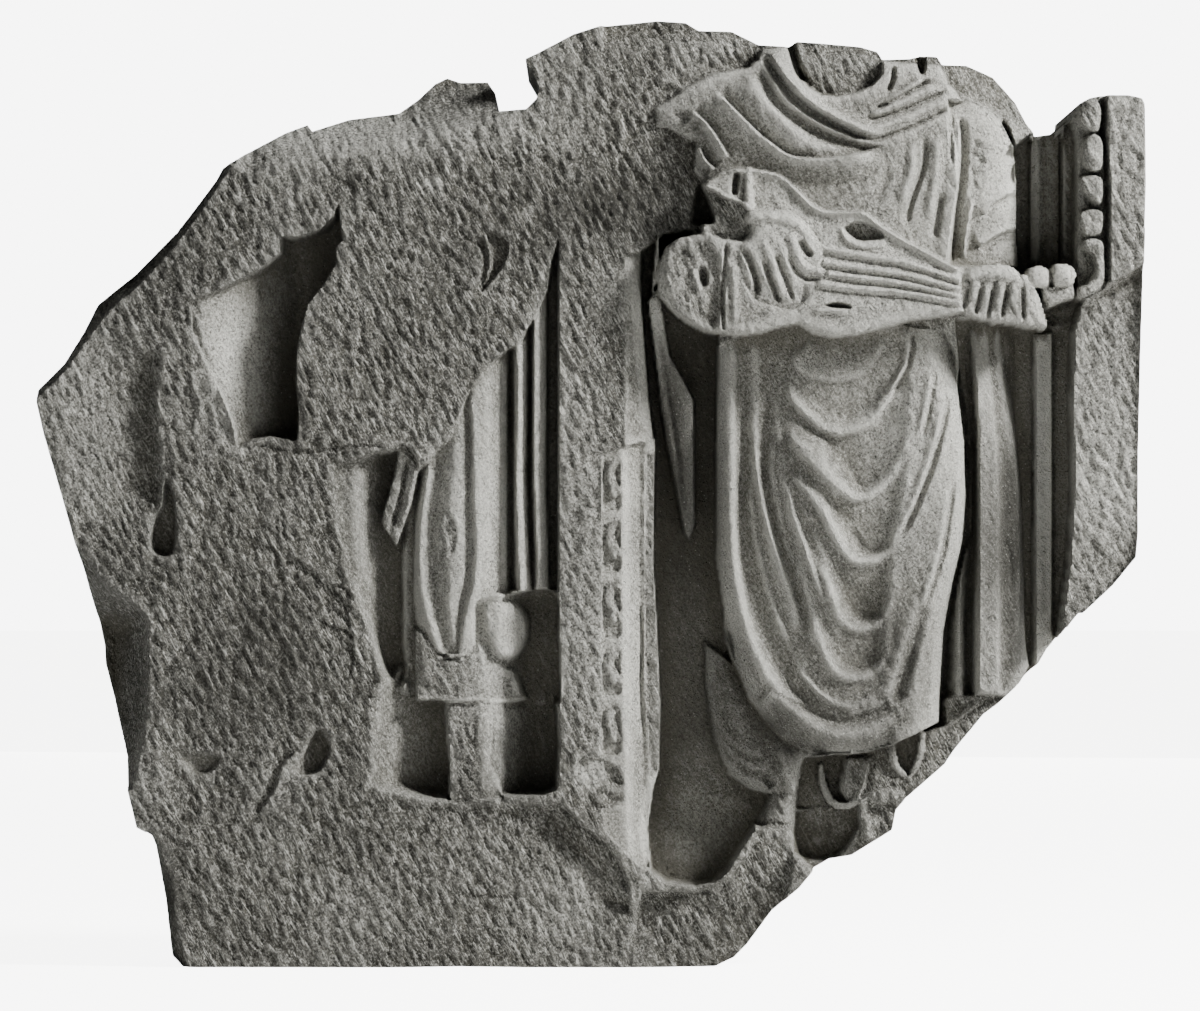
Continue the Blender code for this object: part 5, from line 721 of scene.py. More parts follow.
def carve_robe_side(s):
    """Folds that hang on the far side of the robe, beside the right recess."""
    side = [(954, 318), (976, 318), (1004, 322), (1014, 380), (1020, 430), (1026, 500), (1028, 560),
            (1030, 640), (1034, 668), (1020, 690), (984, 712), (955, 712), (944, 690), (948, 620), (958, 580),
            (968, 540), (970, 480), (967, 420), (960, 380)]
    rails = [
        [(955, 320, 44), (966, 400, 43), (970, 450, 42), (971, 530, 40), (959, 575, 38), (951, 610, 34),
         (947, 690, 34)],
        [(960, 320, 44), (969, 400, 43), (973, 450, 41), (973, 530, 41), (963, 560, 47), (961, 600, 50),
         (961, 680, 49)],
        [(966, 320, 44), (973, 400, 41), (976, 450, 38), (976, 540, 38), (973, 580, 38), (971, 620, 36),
         (971, 675, 37)],
        [(972, 320, 44), (976, 350, 48), (979, 400, 56), (980, 450, 58), (981, 600, 58), (981, 680, 56)],
        [(984, 320, 45), (988, 360, 48), (993, 420, 56), (997, 480, 57), (998, 560, 57), (998, 680, 55.5)],
        [(990, 320, 44), (994, 365, 45), (1000, 420, 51), (1003, 480, 51), (1004, 560, 51), (1004, 675, 50)],
        [(998, 320, 42), (1002, 370, 43), (1012, 430, 48.5), (1017, 480, 49), (1019, 560, 49),
         (1021, 670, 48)],
        [(1006, 320, 36), (1010, 375, 36), (1020, 430, 38), (1026, 480, 38), (1028, 560, 38),
         (1032, 668, 38)],
    ]
    s.block(side, cloth_over(rails), wall=3, rough=0.5)
    s.stroke([(1004, 530), (1012, 560), (1014, 600)], -0.8, 4, 0.2)
    s.stroke([(960, 664), (970, 678), (986, 691), (998, 680)], 1.4, 5, 0.15)
    # Rough ground below the folds
    s.shape([(944, 696), (985, 692), (1010, 696), (1014, 716), (985, 740), (956, 770), (930, 750),
            (944, 726)],
            48, wall=6, rough=1.0)
    s.fold([(948, 727), (964, 716), (984, 700), (1004, 694)], 1.6, 8, 4, 0.5, 6)


def carve_feet(s):
    """Drape ends, ankle and broken ground below the hem."""
    # Inner robe seen below the hem on the left
    inner = [(704, 640), (738, 664), (766, 716), (802, 746), (824, 754), (812, 762), (803, 776), (798, 798),
             (782, 796), (768, 798), (750, 793), (728, 778), (712, 740), (704, 690)]
    rails = [
        [(702, 640, 33), (702, 700, 33), (710, 760, 33), (735, 790, 34), (745, 800, 34)],
        [(712, 640, 34.5), (720, 700, 40), (735, 750, 42), (752, 785, 44), (758, 797, 44)],
        [(724, 650, 35.5), (738, 710, 44), (755, 750, 47), (768, 780, 47), (772, 797, 46)],
        [(740, 672, 38), (757, 725, 45), (772, 755, 48), (781, 780, 50), (783, 797, 48)],
        [(757, 700, 42), (774, 735, 47), (785, 757, 51), (792, 780, 52), (794, 800, 50)],
        [(775, 725, 43), (796, 746, 48), (808, 757, 49), (802, 780, 46), (798, 800, 44)],
    ]
    s.block(inner, cloth_over(rails), wall=4, rough=0.5)
    for path, height in [
        ([(708, 700), (722, 730), (746, 752), (772, 756)], 0.9),
        ([(714, 726), (732, 752), (752, 768), (772, 768)], 0.9),
    ]:
        s.fold(path, height, 10, 5, 0.6, 8, 0.2)
    s.stroke([(724, 770), (744, 786), (760, 796), (776, 796), (784, 788)], 1.6, 5, 0.15)
    s.stroke([(764, 776), (770, 784), (774, 790)], -3.0, 6, 0.2)
    # Hollows between the drape ends
    s.shape([(803, 760), (812, 757), (846, 757), (843, 788), (850, 806), (838, 813), (800, 813), (797, 800),
             (799, 778)], 33, wall=4, rough=0.5)
    s.shape([(797, 812), (862, 808), (858, 836), (838, 860), (806, 862), (796, 850)], 34, wall=5, rough=0.6)
    s.tube([(791, 774), (784, 800), (776, 832)], [11, 14, 20], [49, 49, 51], rough=0.8, squash=1.4)
    # Broken ground under the feet
    s.block([(756, 830), (768, 824), (788, 826), (797, 838), (797, 862), (786, 905), (757, 940), (738, 966),
             (715, 980), (620, 980), (640, 890), (697, 889), (725, 876), (745, 854)],
            flaked(56, 1.5, 40, 23), wall=6, rough=1.0)
    s.stroke([(758, 824), (776, 828), (796, 826)], -1.5, 5, 0.2)
    # Folds of the drape between the feet
    s.block([(846, 757), (874, 755), (890, 770), (884, 790), (868, 800), (856, 806), (848, 800), (843, 786)],
            slope(46, 2, x=850, reach=24), wall=4, rough=0.9)
    s.fold([(850, 808), (846, 790), (850, 758)], 1.6, 7, 4, 0.8, 6, 0.15)
    s.fold([(856, 806), (864, 786), (870, 757)], 1.8, 8, 4, 1.4, 8, 0.15)
    s.tube([(822, 768), (825, 788), (833, 803), (846, 808), (860, 802)], [3, 4, 4, 4, 3],
           [38, 40, 42, 46, 49], rough=0.5)
    s.shape([(894, 744), (922, 734), (921, 756), (912, 776), (904, 776), (897, 764)], 44, wall=4, rough=0.6)
    s.tube([(893, 746), (896, 765), (906, 777)], [3.5, 4, 3], [52, 51, 49], rough=0.5)
    s.tube([(924, 734), (921, 757), (913, 777)], [3, 3.5, 3], [52, 51, 49], rough=0.5)
    s.shape([(858, 804), (880, 788), (905, 790), (906, 802), (896, 832), (866, 842)],
            flaked(50, 2.5, 14, 25), wall=4, rough=1.0)


def carve_musician_shoulders(s):
    """Chest and shoulders of the musician, with the folds of the collar."""
    chest = [(652, 108), (672, 96), (690, 84), (712, 73), (748, 66), (762, 48), (800, 44), (882, 60),
             (940, 64), (962, 100), (990, 110), (1006, 126), (1016, 146), (1019, 180), (1018, 226),
             (1020, 262), (960, 290), (700, 290), (700, 182), (692, 171), (694, 144), (670, 131), (656, 128)]

    def body(x, y):
        across = np.clip(np.abs(x - 845) / 190.0, 0, 1)
        return 69 - 8 * across ** 2 - 5 * ease((90 - y) / 60)
    s.block(chest, body, crown=2.5, round=14, wall=3, rough=0.4)
    # Broken ground above the shoulders
    s.block([(600, 0), (700, 0), (740, 10), (765, 30), (762, 46), (760, 62), (744, 68), (712, 74), (690, 86),
             (668, 104), (650, 110), (600, 100)], lambda x, y: 60.5 - 6 * ease((54 - y) / 30)
            + 1.0 * lattice_noise(x, y, 40, 31), wall=7, rough=1.0)
    s.block([(940, 50), (967, 50), (1010, 60), (1040, 100), (1046, 128), (1024, 142), (1016, 150),
             (1008, 128), (992, 110), (966, 99), (946, 86)],
            lambda x, y: 60 - 16 * ease((x - 0.4 * (y - 100) - 950) / 90), wall=4, rough=1.0)
    carve_arm(s)
    # Collar: a full roll, a thin one below it and a broad band of cloth
    s.fold([(766, 44), (776, 62), (788, 80), (808, 101), (828, 114), (846, 123), (870, 133), (890, 132)], 4.6,
           15, 8, 2.8, 6, 0.2)
    s.fold([(759, 58), (770, 78), (782, 97), (796, 110), (812, 121), (832, 131), (852, 138), (874, 143),
            (892, 141)], 2.6, 5, 7, 2.6, 12, 0.22)
    s.fold([(742, 72), (752, 88), (768, 106), (784, 124), (802, 141), (824, 153), (848, 156), (872, 152)],
           3.0, 17, 34, 0.0, 4, 0.14, 1.0)
    # Edges of cloth that overlap down the shoulder, each lifted on its lower left
    for path, height, slope in [
        ([(713, 90), (728, 106), (742, 120), (757, 135), (772, 147), (787, 157), (804, 161), (830, 161),
          (858, 156), (882, 149)], 3.2, 24),
        ([(690, 112), (702, 121), (712, 133), (720, 146), (728, 160)], 2.6, 16),
        ([(698, 147), (704, 160), (714, 171)], 2.0, 9),
    ]:
        s.fold(path[::-1], height, slope, 3.5, 1.2, 10, 0.1, 1.0)
    s.stroke([(668, 112), (690, 120), (704, 136)], -1.2, 8, 0.3)
    # Bands of cloth that rise to the right shoulder
    for path in [[(872, 112), (893, 101), (915, 89), (930, 80)], [(866, 122), (900, 112), (925, 101),
            (947, 91)],
                 [(872, 141), (900, 132), (925, 121), (948, 109)]]:
        s.stroke(path, -2.2, 3.2, 0.12)
    for path in [[(866, 117), (893, 107), (918, 95), (938, 86)], [(868, 131), (900, 121), (925, 110),
            (950, 99)],
                 [(884, 106), (902, 93), (922, 80)]]:
        s.stroke(path, 1.8, 5.5, 0.12)
    s.stroke([(893, 66), (892, 80), (886, 94)], -3.4, 4, 0.2)
    s.shape([(913, 50), (926, 50), (926, 70), (921, 76), (916, 68)], 58, wall=3, mode="cut", rough=1.0)
    # Break of the neck, with a deep gap between it and the collar
    s.block([(790, 30), (822, 30), (861, 34), (884, 50), (883, 76), (872, 88), (856, 96), (838, 99),
             (820, 98), (806, 89), (797, 74), (792, 56)], lambda x, y: 66 - 4 * ease((64 - y) / 20)
            + 1.2 * lattice_noise(x, y, 22, 33, 1.1, 2), wall=4, rough=1.0)
    s.stroke([(788, 38), (793, 56), (798, 72), (806, 84)], -8, 6, 0.14, 0.2)
    # Chest folds that run down to the instrument
    for path, depth, half in [
        ([(924, 132), (924, 160), (919, 180), (911, 202), (905, 230)], -2.2, 4.5),
        ([(949, 114), (951, 140), (952, 166)], -2.4, 4),
        ([(942, 192), (938, 214), (934, 240)], -2.4, 5),
        ([(890, 170), (882, 186), (876, 206)], -1.2, 8),
    ]:
        s.stroke(path, depth, half, 0.2)
    s.fold([(945, 264), (948, 240), (952, 210), (957, 180), (959, 144), (956, 116)], 2.0, 14, 3, 3.2, 9,
           0.08, 1.0)
    s.stroke([(972, 198), (967, 225), (963, 260)], 1.8, 3.5, 0.15)
    for path in [[(912, 140), (910, 172), (898, 210)], [(936, 128), (936, 170), (926, 226)]]:
        s.stroke(path, 1.4, 8, 0.25)


def carve_instrument(s):
    """The stringed instrument held across the chest, and the broken wrist above it."""
    body = [(701, 184), (719, 173), (735, 169), (755, 170), (775, 174), (786, 180), (800, 193), (812, 205),
            (823, 211), (840, 212), (861, 212), (871, 218), (881, 226), (900, 238), (921, 249), (943, 261),
            (962, 270), (968, 292), (964, 314), (943, 318), (910, 323), (880, 331), (855, 337), (830, 339),
            (812, 335), (798, 326), (780, 329), (760, 335), (735, 338), (705, 334), (684, 323), (670, 312),
            (659, 298), (655, 280), (658, 262), (664, 246), (680, 236), (700, 232)]

    def face(x, y):
        return 72.5 + 1.5 * ease((y - 200) / 100) - 4 * ease((720 - x) / 60)
    s.block(body, face, crown=3.2, round=13, wall=2.0, rough=0.45)
    s.shape([(664, 246), (680, 234), (704, 238), (720, 256), (724, 300), (716, 330), (690, 322), (668, 304),
             (660, 280)], flaked(73, 0.8, 14, 43, 1.1, 2), crown=1.5,
            round=16, wall=8, rough=0.75)
    # Pit and cord at the left end
    s.shape([(699, 266), (706, 268), (710, 276), (708, 286), (701, 288), (697, 278)], 70, wall=5, rough=0.9,
            mode="cut")
    s.stroke([(692, 268), (695, 280), (700, 294)], 1.6, 4, 0.2)
    s.stroke([(726, 244), (724, 270), (722, 300), (723, 332)], -2.6, 3, 0.06)
    s.stroke([(733, 262), (734, 290), (735, 326)], 0.9, 6, 0.15)
    # Raised rim along the upper edge
    rim = [(703, 184), (719, 175), (735, 171), (755, 172), (775, 176), (786, 182), (800, 195), (812, 207),
           (823, 213), (840, 214), (861, 214), (871, 220), (881, 228), (900, 240), (921, 251), (943, 263),
           (962, 272)]
    s.stroke(rim, 1.8, 4.0, 0.02)
    s.fold(rim, 0.6, 4, 10, 0.8, 14, 0.04)
    # Slot and upright bar beside the wrist
    s.stroke([(737, 173), (735, 184), (734, 196)], -4.6, 4, 0.1, 0.3)
    s.tube([(748, 173), (748, 190), (749, 208)], [4.5, 4.5, 6], [76.5, 77.5, 78.5], rough=0.3)
    # Sound holes, each with a bright lower lip
    s.shape([(842, 230), (850, 223), (864, 222), (878, 229), (884, 238), (870, 243), (854, 242)], 71, wall=4,
            rough=1.0, mode="cut")
    s.stroke([(838, 228), (845, 240), (858, 247), (874, 247), (886, 241)], 1.0, 4, 0.1)
    s.shape([(822, 307), (834, 302), (848, 305), (850, 310), (834, 310)], 70.5, wall=4, mode="cut")
    s.stroke([(812, 312), (826, 311), (848, 314)], 1.4, 4, 0.15)
    # Broken wrist and the deep gap beside it
    s.block([(703, 187), (712, 190), (724, 198), (742, 204), (750, 214), (751, 234), (742, 244), (724, 242),
             (706, 236), (700, 222)], flaked(72.5, 2.2, 9, 41, 1.35, 3),
            wall=3, rough=1.0)
    s.shape([(698, 182), (704, 187), (711, 203), (715, 222), (704, 226), (690, 223), (692, 202)],
            slope(50, 12, x=704, reach=-18), wall=4, rough=0.6)
    s.stroke([(703, 186), (714, 191), (726, 198), (742, 204), (750, 212)], 1.6, 2.5, 0.1)
    # Strings
    for path, height in [
        ([(812, 249), (836, 252), (870, 258), (905, 264), (966, 284)], 1.7),
        ([(819, 262), (850, 268), (900, 275), (966, 292)], 1.5),
        ([(824, 274), (860, 279), (905, 285), (966, 298)], 1.5),
        ([(815, 284), (850, 289), (905, 294), (966, 304)], 1.5),
    ]:
        s.stroke(path, height, 4.6, 0.03)
        s.stroke([(x, y + 5.5) for x, y in path], -0.8, 2.6, 0.03)


def carve_left_hand(s):
    """The hand that plucks the strings."""
    hand = [(750, 212), (768, 213), (787, 216), (798, 221), (808, 231), (816, 243), (824, 250), (822, 260),
            (824, 272), (818, 280), (806, 281), (806, 298), (798, 308), (786, 312), (772, 308), (756, 303),
            (744, 288), (738, 264), (740, 246), (750, 236)]
    s.shape(hand, slope(76, -1.5, y=262, reach=40), crown=2.5, round=14, wall=2,
            rough=0.55)
    # Thumb along the top
    s.tube([(752, 218), (772, 219), (790, 223), (802, 232), (812, 243), (826, 253)], [8, 9, 9, 8, 6.5, 5],
           [79, 79.4, 79.6, 79, 77.8, 76.6], rough=0.45, squash=1.5)
    # Fingers
    for path, radii, tops in [
        ([(752, 244), (758, 266), (761, 286), (764, 302)], [6, 5.5, 5, 4], [78, 78, 77, 75]),
        ([(764, 244), (772, 266), (779, 288), (787, 306)], [6, 6, 6, 4.5], [79, 79.5, 78.5, 76]),
        ([(778, 242), (787, 264), (794, 282), (801, 298)], [6, 6, 6, 4.5], [79, 79.5, 78.5, 76]),
        ([(790, 238), (795, 254), (803, 266), (820, 272)], [6, 6, 6, 5], [79.5, 80, 79.5, 78]),
    ]:
        s.tube(path, radii, tops, rough=0.4, squash=1.2)
    # Gaps between the fingers
    for path, depth, half in [
        ([(741, 248), (749, 262), (755, 280), (757, 298)], -4.2, 5.0),
        ([(762, 258), (768, 276), (774, 292), (779, 306)], -3.4, 4.6),
        ([(774, 254), (783, 276), (793, 302)], -2.8, 3.6),
        ([(786, 256), (795, 272), (806, 280), (822, 280)], -2.6, 4.0),
        ([(799, 240), (804, 250), (811, 258)], -4.0, 5.5),
    ]:
        s.stroke(path, depth, half, 0.18)


def carve_right_hand(s):
    """The hand on the instrument's neck, the pegs and the upturned end."""
    s.shape([(960, 272), (978, 267), (1000, 265), (1014, 270), (1026, 281), (1036, 296), (1042, 316),
             (1046, 328), (1032, 330), (1008, 326), (980, 322), (962, 314), (958, 300), (958, 284)], 73.2,
             crown=2.4,
            round=10, wall=2, rough=0.5)
    s.tube([(972, 277), (990, 274), (1006, 275), (1018, 284)], [8, 9, 9, 7], [77, 78, 78, 76],
           rough=0.3)
    fingers = [(974, 282, 968, 312), (986, 284, 980, 316), (999, 284, 993, 320), (1013, 286, 1008, 314)]
    for x0, y0, x1, y1 in fingers:
        s.tube([(x0, y0), (0.5 * (x0 + x1) + 1, 0.5 * (y0 + y1)), (x1, y1)], [6, 6.4, 5],
               [77, 77, 74.5], rough=0.6)
    s.tube([(1020, 280), (1029, 292), (1036, 308), (1043, 326)], [6, 6, 5.5, 4.5],
           [76, 75.5, 73.5, 69], rough=0.5)
    for x0, x1, y1 in [(967, 962, 310), (980, 974, 316), (992, 986, 320), (1006, 1000, 320),
            (1021, 1022, 322)]:
        s.stroke([(x0, 288), (0.5 * (x0 + x1), 302), (x1, y1)], -2.6, 3, 0.15)
    # Neck of the instrument and its pegs
    s.block([(1038, 283), (1056, 280), (1074, 281), (1076, 300), (1062, 304), (1046, 311), (1039, 300)], 70.5,
            crown=1.5, round=6, wall=2.5, rough=0.9)
    for x, y, r in [(1037, 278, 11.5), (1061, 276, 12)]:
        s.tube([(x - 2, y), (x + 2, y)], r, 76, rough=0.3, squash=0.9)
    s.stroke([(1049, 268), (1050, 280), (1050, 288)], -4, 3.5, 0.1)


def carve_right_post(s):
    """The broken post at the right edge, with the scrolled edge beside it."""
    s.block([(1073, 330), (1080, 304), (1103, 290), (1143, 262), (1141, 325), (1138, 459), (1138, 545),
             (1136, 557), (1113, 585), (1082, 614), (1058, 642), (1062, 610), (1069, 560), (1073, 480),
             (1071, 400)], flaked(60, 1.0, 40, 51, 1.2, 2), wall=3, rough=1.0)
    s.block([(1104, 92), (1145, 92), (1147, 184), (1146, 264), (1124, 277), (1104, 289), (1106, 200)],
            flaked(69, 0.8, 40, 53, 1.2, 2), wall=3, rough=1.0)
    s.block([(1078, 94), (1104, 92), (1105, 288), (1090, 297), (1078, 304), (1074, 290), (1076, 140),
            (1070, 118)],
            61, wall=3, rough=0.8)
    # Scrolls: each bulges to the left and hooks back to the post
    scrolls = [
        [(1079, 104), (1090, 99), (1100, 104), (1102, 120), (1098, 133), (1087, 133), (1078, 124),
         (1077, 112)],
        [(1084, 137), (1094, 133), (1103, 140), (1104, 156), (1102, 170), (1092, 174), (1082, 166),
         (1081, 150)],
        [(1078, 178), (1090, 174), (1102, 178), (1104, 192), (1100, 206), (1090, 203), (1081, 192)],
        [(1077, 214), (1088, 208), (1102, 211), (1104, 224), (1100, 236), (1086, 238), (1077, 228)],
        [(1080, 242), (1090, 237), (1103, 241), (1105, 256), (1104, 284), (1092, 295), (1076, 300),
         (1075, 288), (1086, 282), (1093, 268), (1091, 256), (1083, 252)],
    ]
    for scroll in scrolls:
        s.shape(scroll, 67.5, crown=3.5, round=9, wall=2.5, rough=1.0)
    s.stroke([(1102, 98), (1103, 118), (1102, 134), (1105, 152), (1107, 184), (1107, 230),
            (1107, 286)], -6, 3,
             0.04, 0.2)
    # Overhang of the post and the neck above the lower face
    s.fold([(1046, 313), (1076, 306), (1100, 293), (1120, 281), (1146, 265)], 1.5, 10, 5, 2.0, 12, 0.08)


def carve_base(s):
    """The broken band below the figures."""
    s.block([(60, 790), (240, 812), (374, 786), (460, 794), (520, 796), (556, 800), (568, 812), (584, 830),
             (606, 848), (622, 874), (627, 896), (650, 892), (700, 890), (640, 1000), (60, 1000)],
            lambda x, y: 58.5 - 0.8 * ease((y - 885) / 24)
            + 0.8 * lattice_noise(x, y, 50, 61, 0.4, 2),
            wall=20, rough=1.0, mode="cut")
    s.fold([(553, 801), (583, 829), (606, 848), (622, 874), (627, 900), (624, 918)][::-1], -4.5, 46, 5, 0, 1,
           0.1, 1.0)
    s.stroke([(440, 899), (500, 897), (560, 901), (622, 903)], -0.5, 3)


def carve_cracks(s):
    """Narrow cracks in the sheared surface."""
    for path, half in [
        ([(254, 542), (274, 546), (282, 562), (297, 557), (313, 572), (326, 583), (343, 585),
        (358, 601)], 3.0), ([(313, 615), (332, 624), (352, 633), (355, 655), (352, 683)], 2.5),
        ([(330, 585), (345, 600), (352, 633)], 2.0),
    ]:
        s.fold(path, 0.7, 14, 0.8 * half, 0.8, 3.5, 0.1)


def carve_arm(s):
    """Upper arm on the right, under its sleeve."""
    arm = [(946, 100), (970, 101), (988, 108), (1002, 122), (1012, 140), (1016, 160), (1017, 185),
           (1019, 200), (1019, 226), (1022, 268), (948, 268), (952, 230), (956, 190), (954, 150)]

    def sleeve(x, y):
        across = np.clip((x - 972) / 47.0, 0, 1)
        return (65.5 - 13 * (1 - np.sqrt(1 - 0.96 * across ** 2))) - 5 * ease((y - 190) / 60) \
            - 4 * ease((122 - y) / 22)
    s.block(arm, sleeve, wall=2, rough=0.25)
    s.shape([(967, 140), (985, 138), (992, 160), (984, 190), (972, 196), (966, 170)],
            flaked(65, 0.6, 9, 35), wall=8, rough=0.85)
    s.fold([(982, 214), (990, 204), (1002, 196), (1018, 190)], 2.2, 18, 4, 1.8, 12, 0.06)
    s.fold([(978, 246), (990, 238), (1005, 230), (1020, 226)], 2.0, 18, 4, 1.8, 12, 0.06)
    s.stroke([(986, 220), (996, 212), (1004, 206)], 1.6, 7, 0.3)


def carve_field_scoops(s):
    """Crescent pit and the broken pit beside it."""
    s.shape([(166, 742), (174, 758), (184, 771), (197, 779), (212, 774), (221, 758), (208, 752), (188, 750)],
            slope(56.5, -3.5, x=176, reach=40), wall=8, rough=0.3, mode="cut")
    s.shape([(318, 728), (329, 740), (331, 752), (320, 772), (300, 778), (284, 766), (298, 758), (306, 744)],
            slope(58.5, -7, x=286, reach=34), wall=5, rough=0.6, mode="cut")
    s.fold([(300, 752), (284, 766), (276, 790), (256, 820)], 1.0, 20, 5, 2.0, 8)


def flow_between(x, places, heights):
    """Heights that flow from one place to the next along a row, level at each crest and hollow."""
    gaps = np.maximum(np.diff(places), 0.001)
    slopes = np.diff(heights) / gaps
    before, after = slopes[:-1], slopes[1:]
    same = before * after > 0
    middle = np.where(same, 2 * before * after / np.where(same, before + after, 1.0), 0.0)
    bend = np.concatenate([slopes[:1], middle, slopes[-1:]])
    k = np.clip(np.searchsorted(places, x) - 1, 0, len(places) - 2)
    t = np.clip((x - places[k]) / gaps[k], 0.0, 1.0)
    return (heights[k] * (2 * t ** 3 - 3 * t ** 2 + 1) + heights[k + 1] * (3 * t ** 2 - 2 * t ** 3)
            + gaps[k] * (bend[k] * (t ** 3 - 2 * t ** 2 + t) + bend[k + 1] * (t ** 3 - t ** 2)))


def cloth_over(rails, across=False):
    """A surface laid over rails. Each point is x, y and height.

    The rails run down the face and come from left to right, or run across it and come from the top down.
    """
    along = 0 if across else 1
    rails = [smooth_path(rail) for rail in rails]

    def level(x, y):
        if across:
            x, y = y.T, x.T
        rows = y[:, 0]
        places = [np.interp(rows, rail[:, along], rail[:, 1 - along]) for rail in rails]
        places = np.maximum.accumulate(places)
        heights = np.array([np.interp(rows, rail[:, along], rail[:, 2]) for rail in rails])
        laid = np.array([flow_between(x[i], places[:, i], heights[:, i]) for i in range(len(rows))])
        return laid.T if across else laid
    return level


def carve_stone(s):
    """Carves every form in turn."""
    for carve in (
        carve_field, carve_field_scoops, carve_left_recess, carve_left_figure,
        carve_base, carve_niche, carve_pilaster, carve_sleeve_tongue,
        carve_robe_side, carve_feet, carve_musician_robe, carve_musician_shoulders,
        carve_right_post, carve_instrument, carve_left_hand, carve_right_hand,
        carve_cracks,
    ):
        carve(s)


def weather(s):
    """Grain and cleavage left by the break: coarse where the stone is broken, faint where it is carved."""
    x, y = s.x, s.y
    depth = CARVED_GRAIN + (1 - CARVED_GRAIN) * s.rough ** 1.5
    for scale, seed, angle, stretch, height in WEATHER:
        s.h += height * UNIT * lattice_noise(x, y, scale, seed, angle, stretch) * depth


def soften(values, cells):
    """The values averaged over a square of cells, wide in both directions."""
    for axis in (0, 1):
        total = np.cumsum(np.concatenate([np.repeat(np.take(values, [0], axis), cells + 1, axis), values,
                                          np.repeat(np.take(values, [-1], axis), cells, axis)], axis), axis)
        ahead = np.take(total, range(2 * cells + 1, total.shape[axis]), axis)
        behind = np.take(total, range(0, total.shape[axis] - 2 * cells - 1), axis)
        values = (ahead - behind) / (2 * cells + 1)
    return values


def nearest_on_loop(x, y, loop):
    """The nearest points of a closed loop to the points given."""
    best = np.full(x.shape, np.inf)
    near_x, near_y = x.copy(), y.copy()
    for (x0, y0), (x1, y1) in zip(loop, np.roll(loop, -1, axis=0)):
        dx, dy = x1 - x0, y1 - y0
        t = np.clip(((x - x0) * dx + (y - y0) * dy) / (dx * dx + dy * dy), 0.0, 1.0)
        px, py = x0 + t * dx, y0 + t * dy
        far = (x - px) ** 2 + (y - py) ** 2
        nearer = far < best
        best = np.where(nearer, far, best)
        near_x = np.where(nearer, px, near_x)
        near_y = np.where(nearer, py, near_y)
    return near_x, near_y


def carved_relief(cell):
    """The carved and weathered face over a grid that reaches just past the outline."""
    low, high = OUTLINE.min(axis=0), OUTLINE.max(axis=0)
    relief = Relief(*[np.arange(low[i] - cell, high[i] + 2 * cell, cell) for i in (0, 1)])
    carve_stone(relief)
    weather(relief)
    return relief


def vertex_places(mesh):
    """The places of a mesh's vertices, one in each row."""
    places = np.empty(len(mesh.vertices) * 3)
    mesh.vertices.foreach_get("co", places)
    return places.reshape(-1, 3)


def sheet_mesh(relief):
    """The face as a grid of quads, trimmed to the outline, with its edge drawn onto it."""
    rows, cols = relief.x.shape
    bm = bmesh.new()
    bmesh.ops.create_grid(bm, x_segments=cols - 1, y_segments=rows - 1, size=0.5)
    mesh = bpy.data.meshes.new("stone_face")
    bm.to_mesh(mesh)
    bm.free()
    places = vertex_places(mesh)
    col = np.rint((places[:, 0] + 0.5) * (cols - 1)).astype(int)
    row = np.rint((places[:, 1] + 0.5) * (rows - 1)).astype(int)
    x, y = relief.x[row, col], relief.y[row, col]
    across, up = to_stone(x, y)
    points = np.stack([across, BACK - relief.h[row, col], up], axis=1)
    mesh.vertices.foreach_set("co", points.ravel())
    corners = np.empty(len(mesh.polygons) * 4, dtype=int)
    mesh.polygons.foreach_get("vertices", corners)
    corners = corners.reshape(-1, 4)
    kept = inside(x[corners].mean(axis=1), y[corners].mean(axis=1), OUTLINE)
    bm = bmesh.new()
    bm.from_mesh(mesh)
    bmesh.ops.delete(bm, geom=[f for f, keep in zip(bm.faces, kept) if not keep], context="FACES")
    edge = [v for v in bm.verts if v.is_boundary]
    edge_x, edge_y = to_sheet(np.array([v.co.x for v in edge]), np.array([v.co.z for v in edge]))
    across, up = to_stone(*nearest_on_loop(edge_x, edge_y, OUTLINE))
    for vert, place_x, place_z in zip(edge, across, up):
        vert.co.x = place_x
        vert.co.z = place_z
    bmesh.ops.remove_doubles(bm, verts=bm.verts[:], dist=MERGE)
    bmesh.ops.dissolve_degenerate(bm, dist=MERGE, edges=bm.edges[:])
    bm.to_mesh(mesh)
    bm.free()
    return mesh


def thinned(mesh, triangles):
    """The face with only as many facets as its carving needs."""
    sheet = bpy.data.objects.new("stone_face", mesh)
    bpy.context.scene.collection.objects.link(sheet)
    thin = sheet.modifiers.new("thin_out", "DECIMATE")
    thin.ratio = min(1.0, triangles / (2 * len(mesh.polygons)))
    thin.use_collapse_triangulate = True
    depsgraph = bpy.context.evaluated_depsgraph_get()
    face = bpy.data.meshes.new_from_object(sheet.evaluated_get(depsgraph))
    bpy.data.objects.remove(sheet, do_unlink=True)
    return face


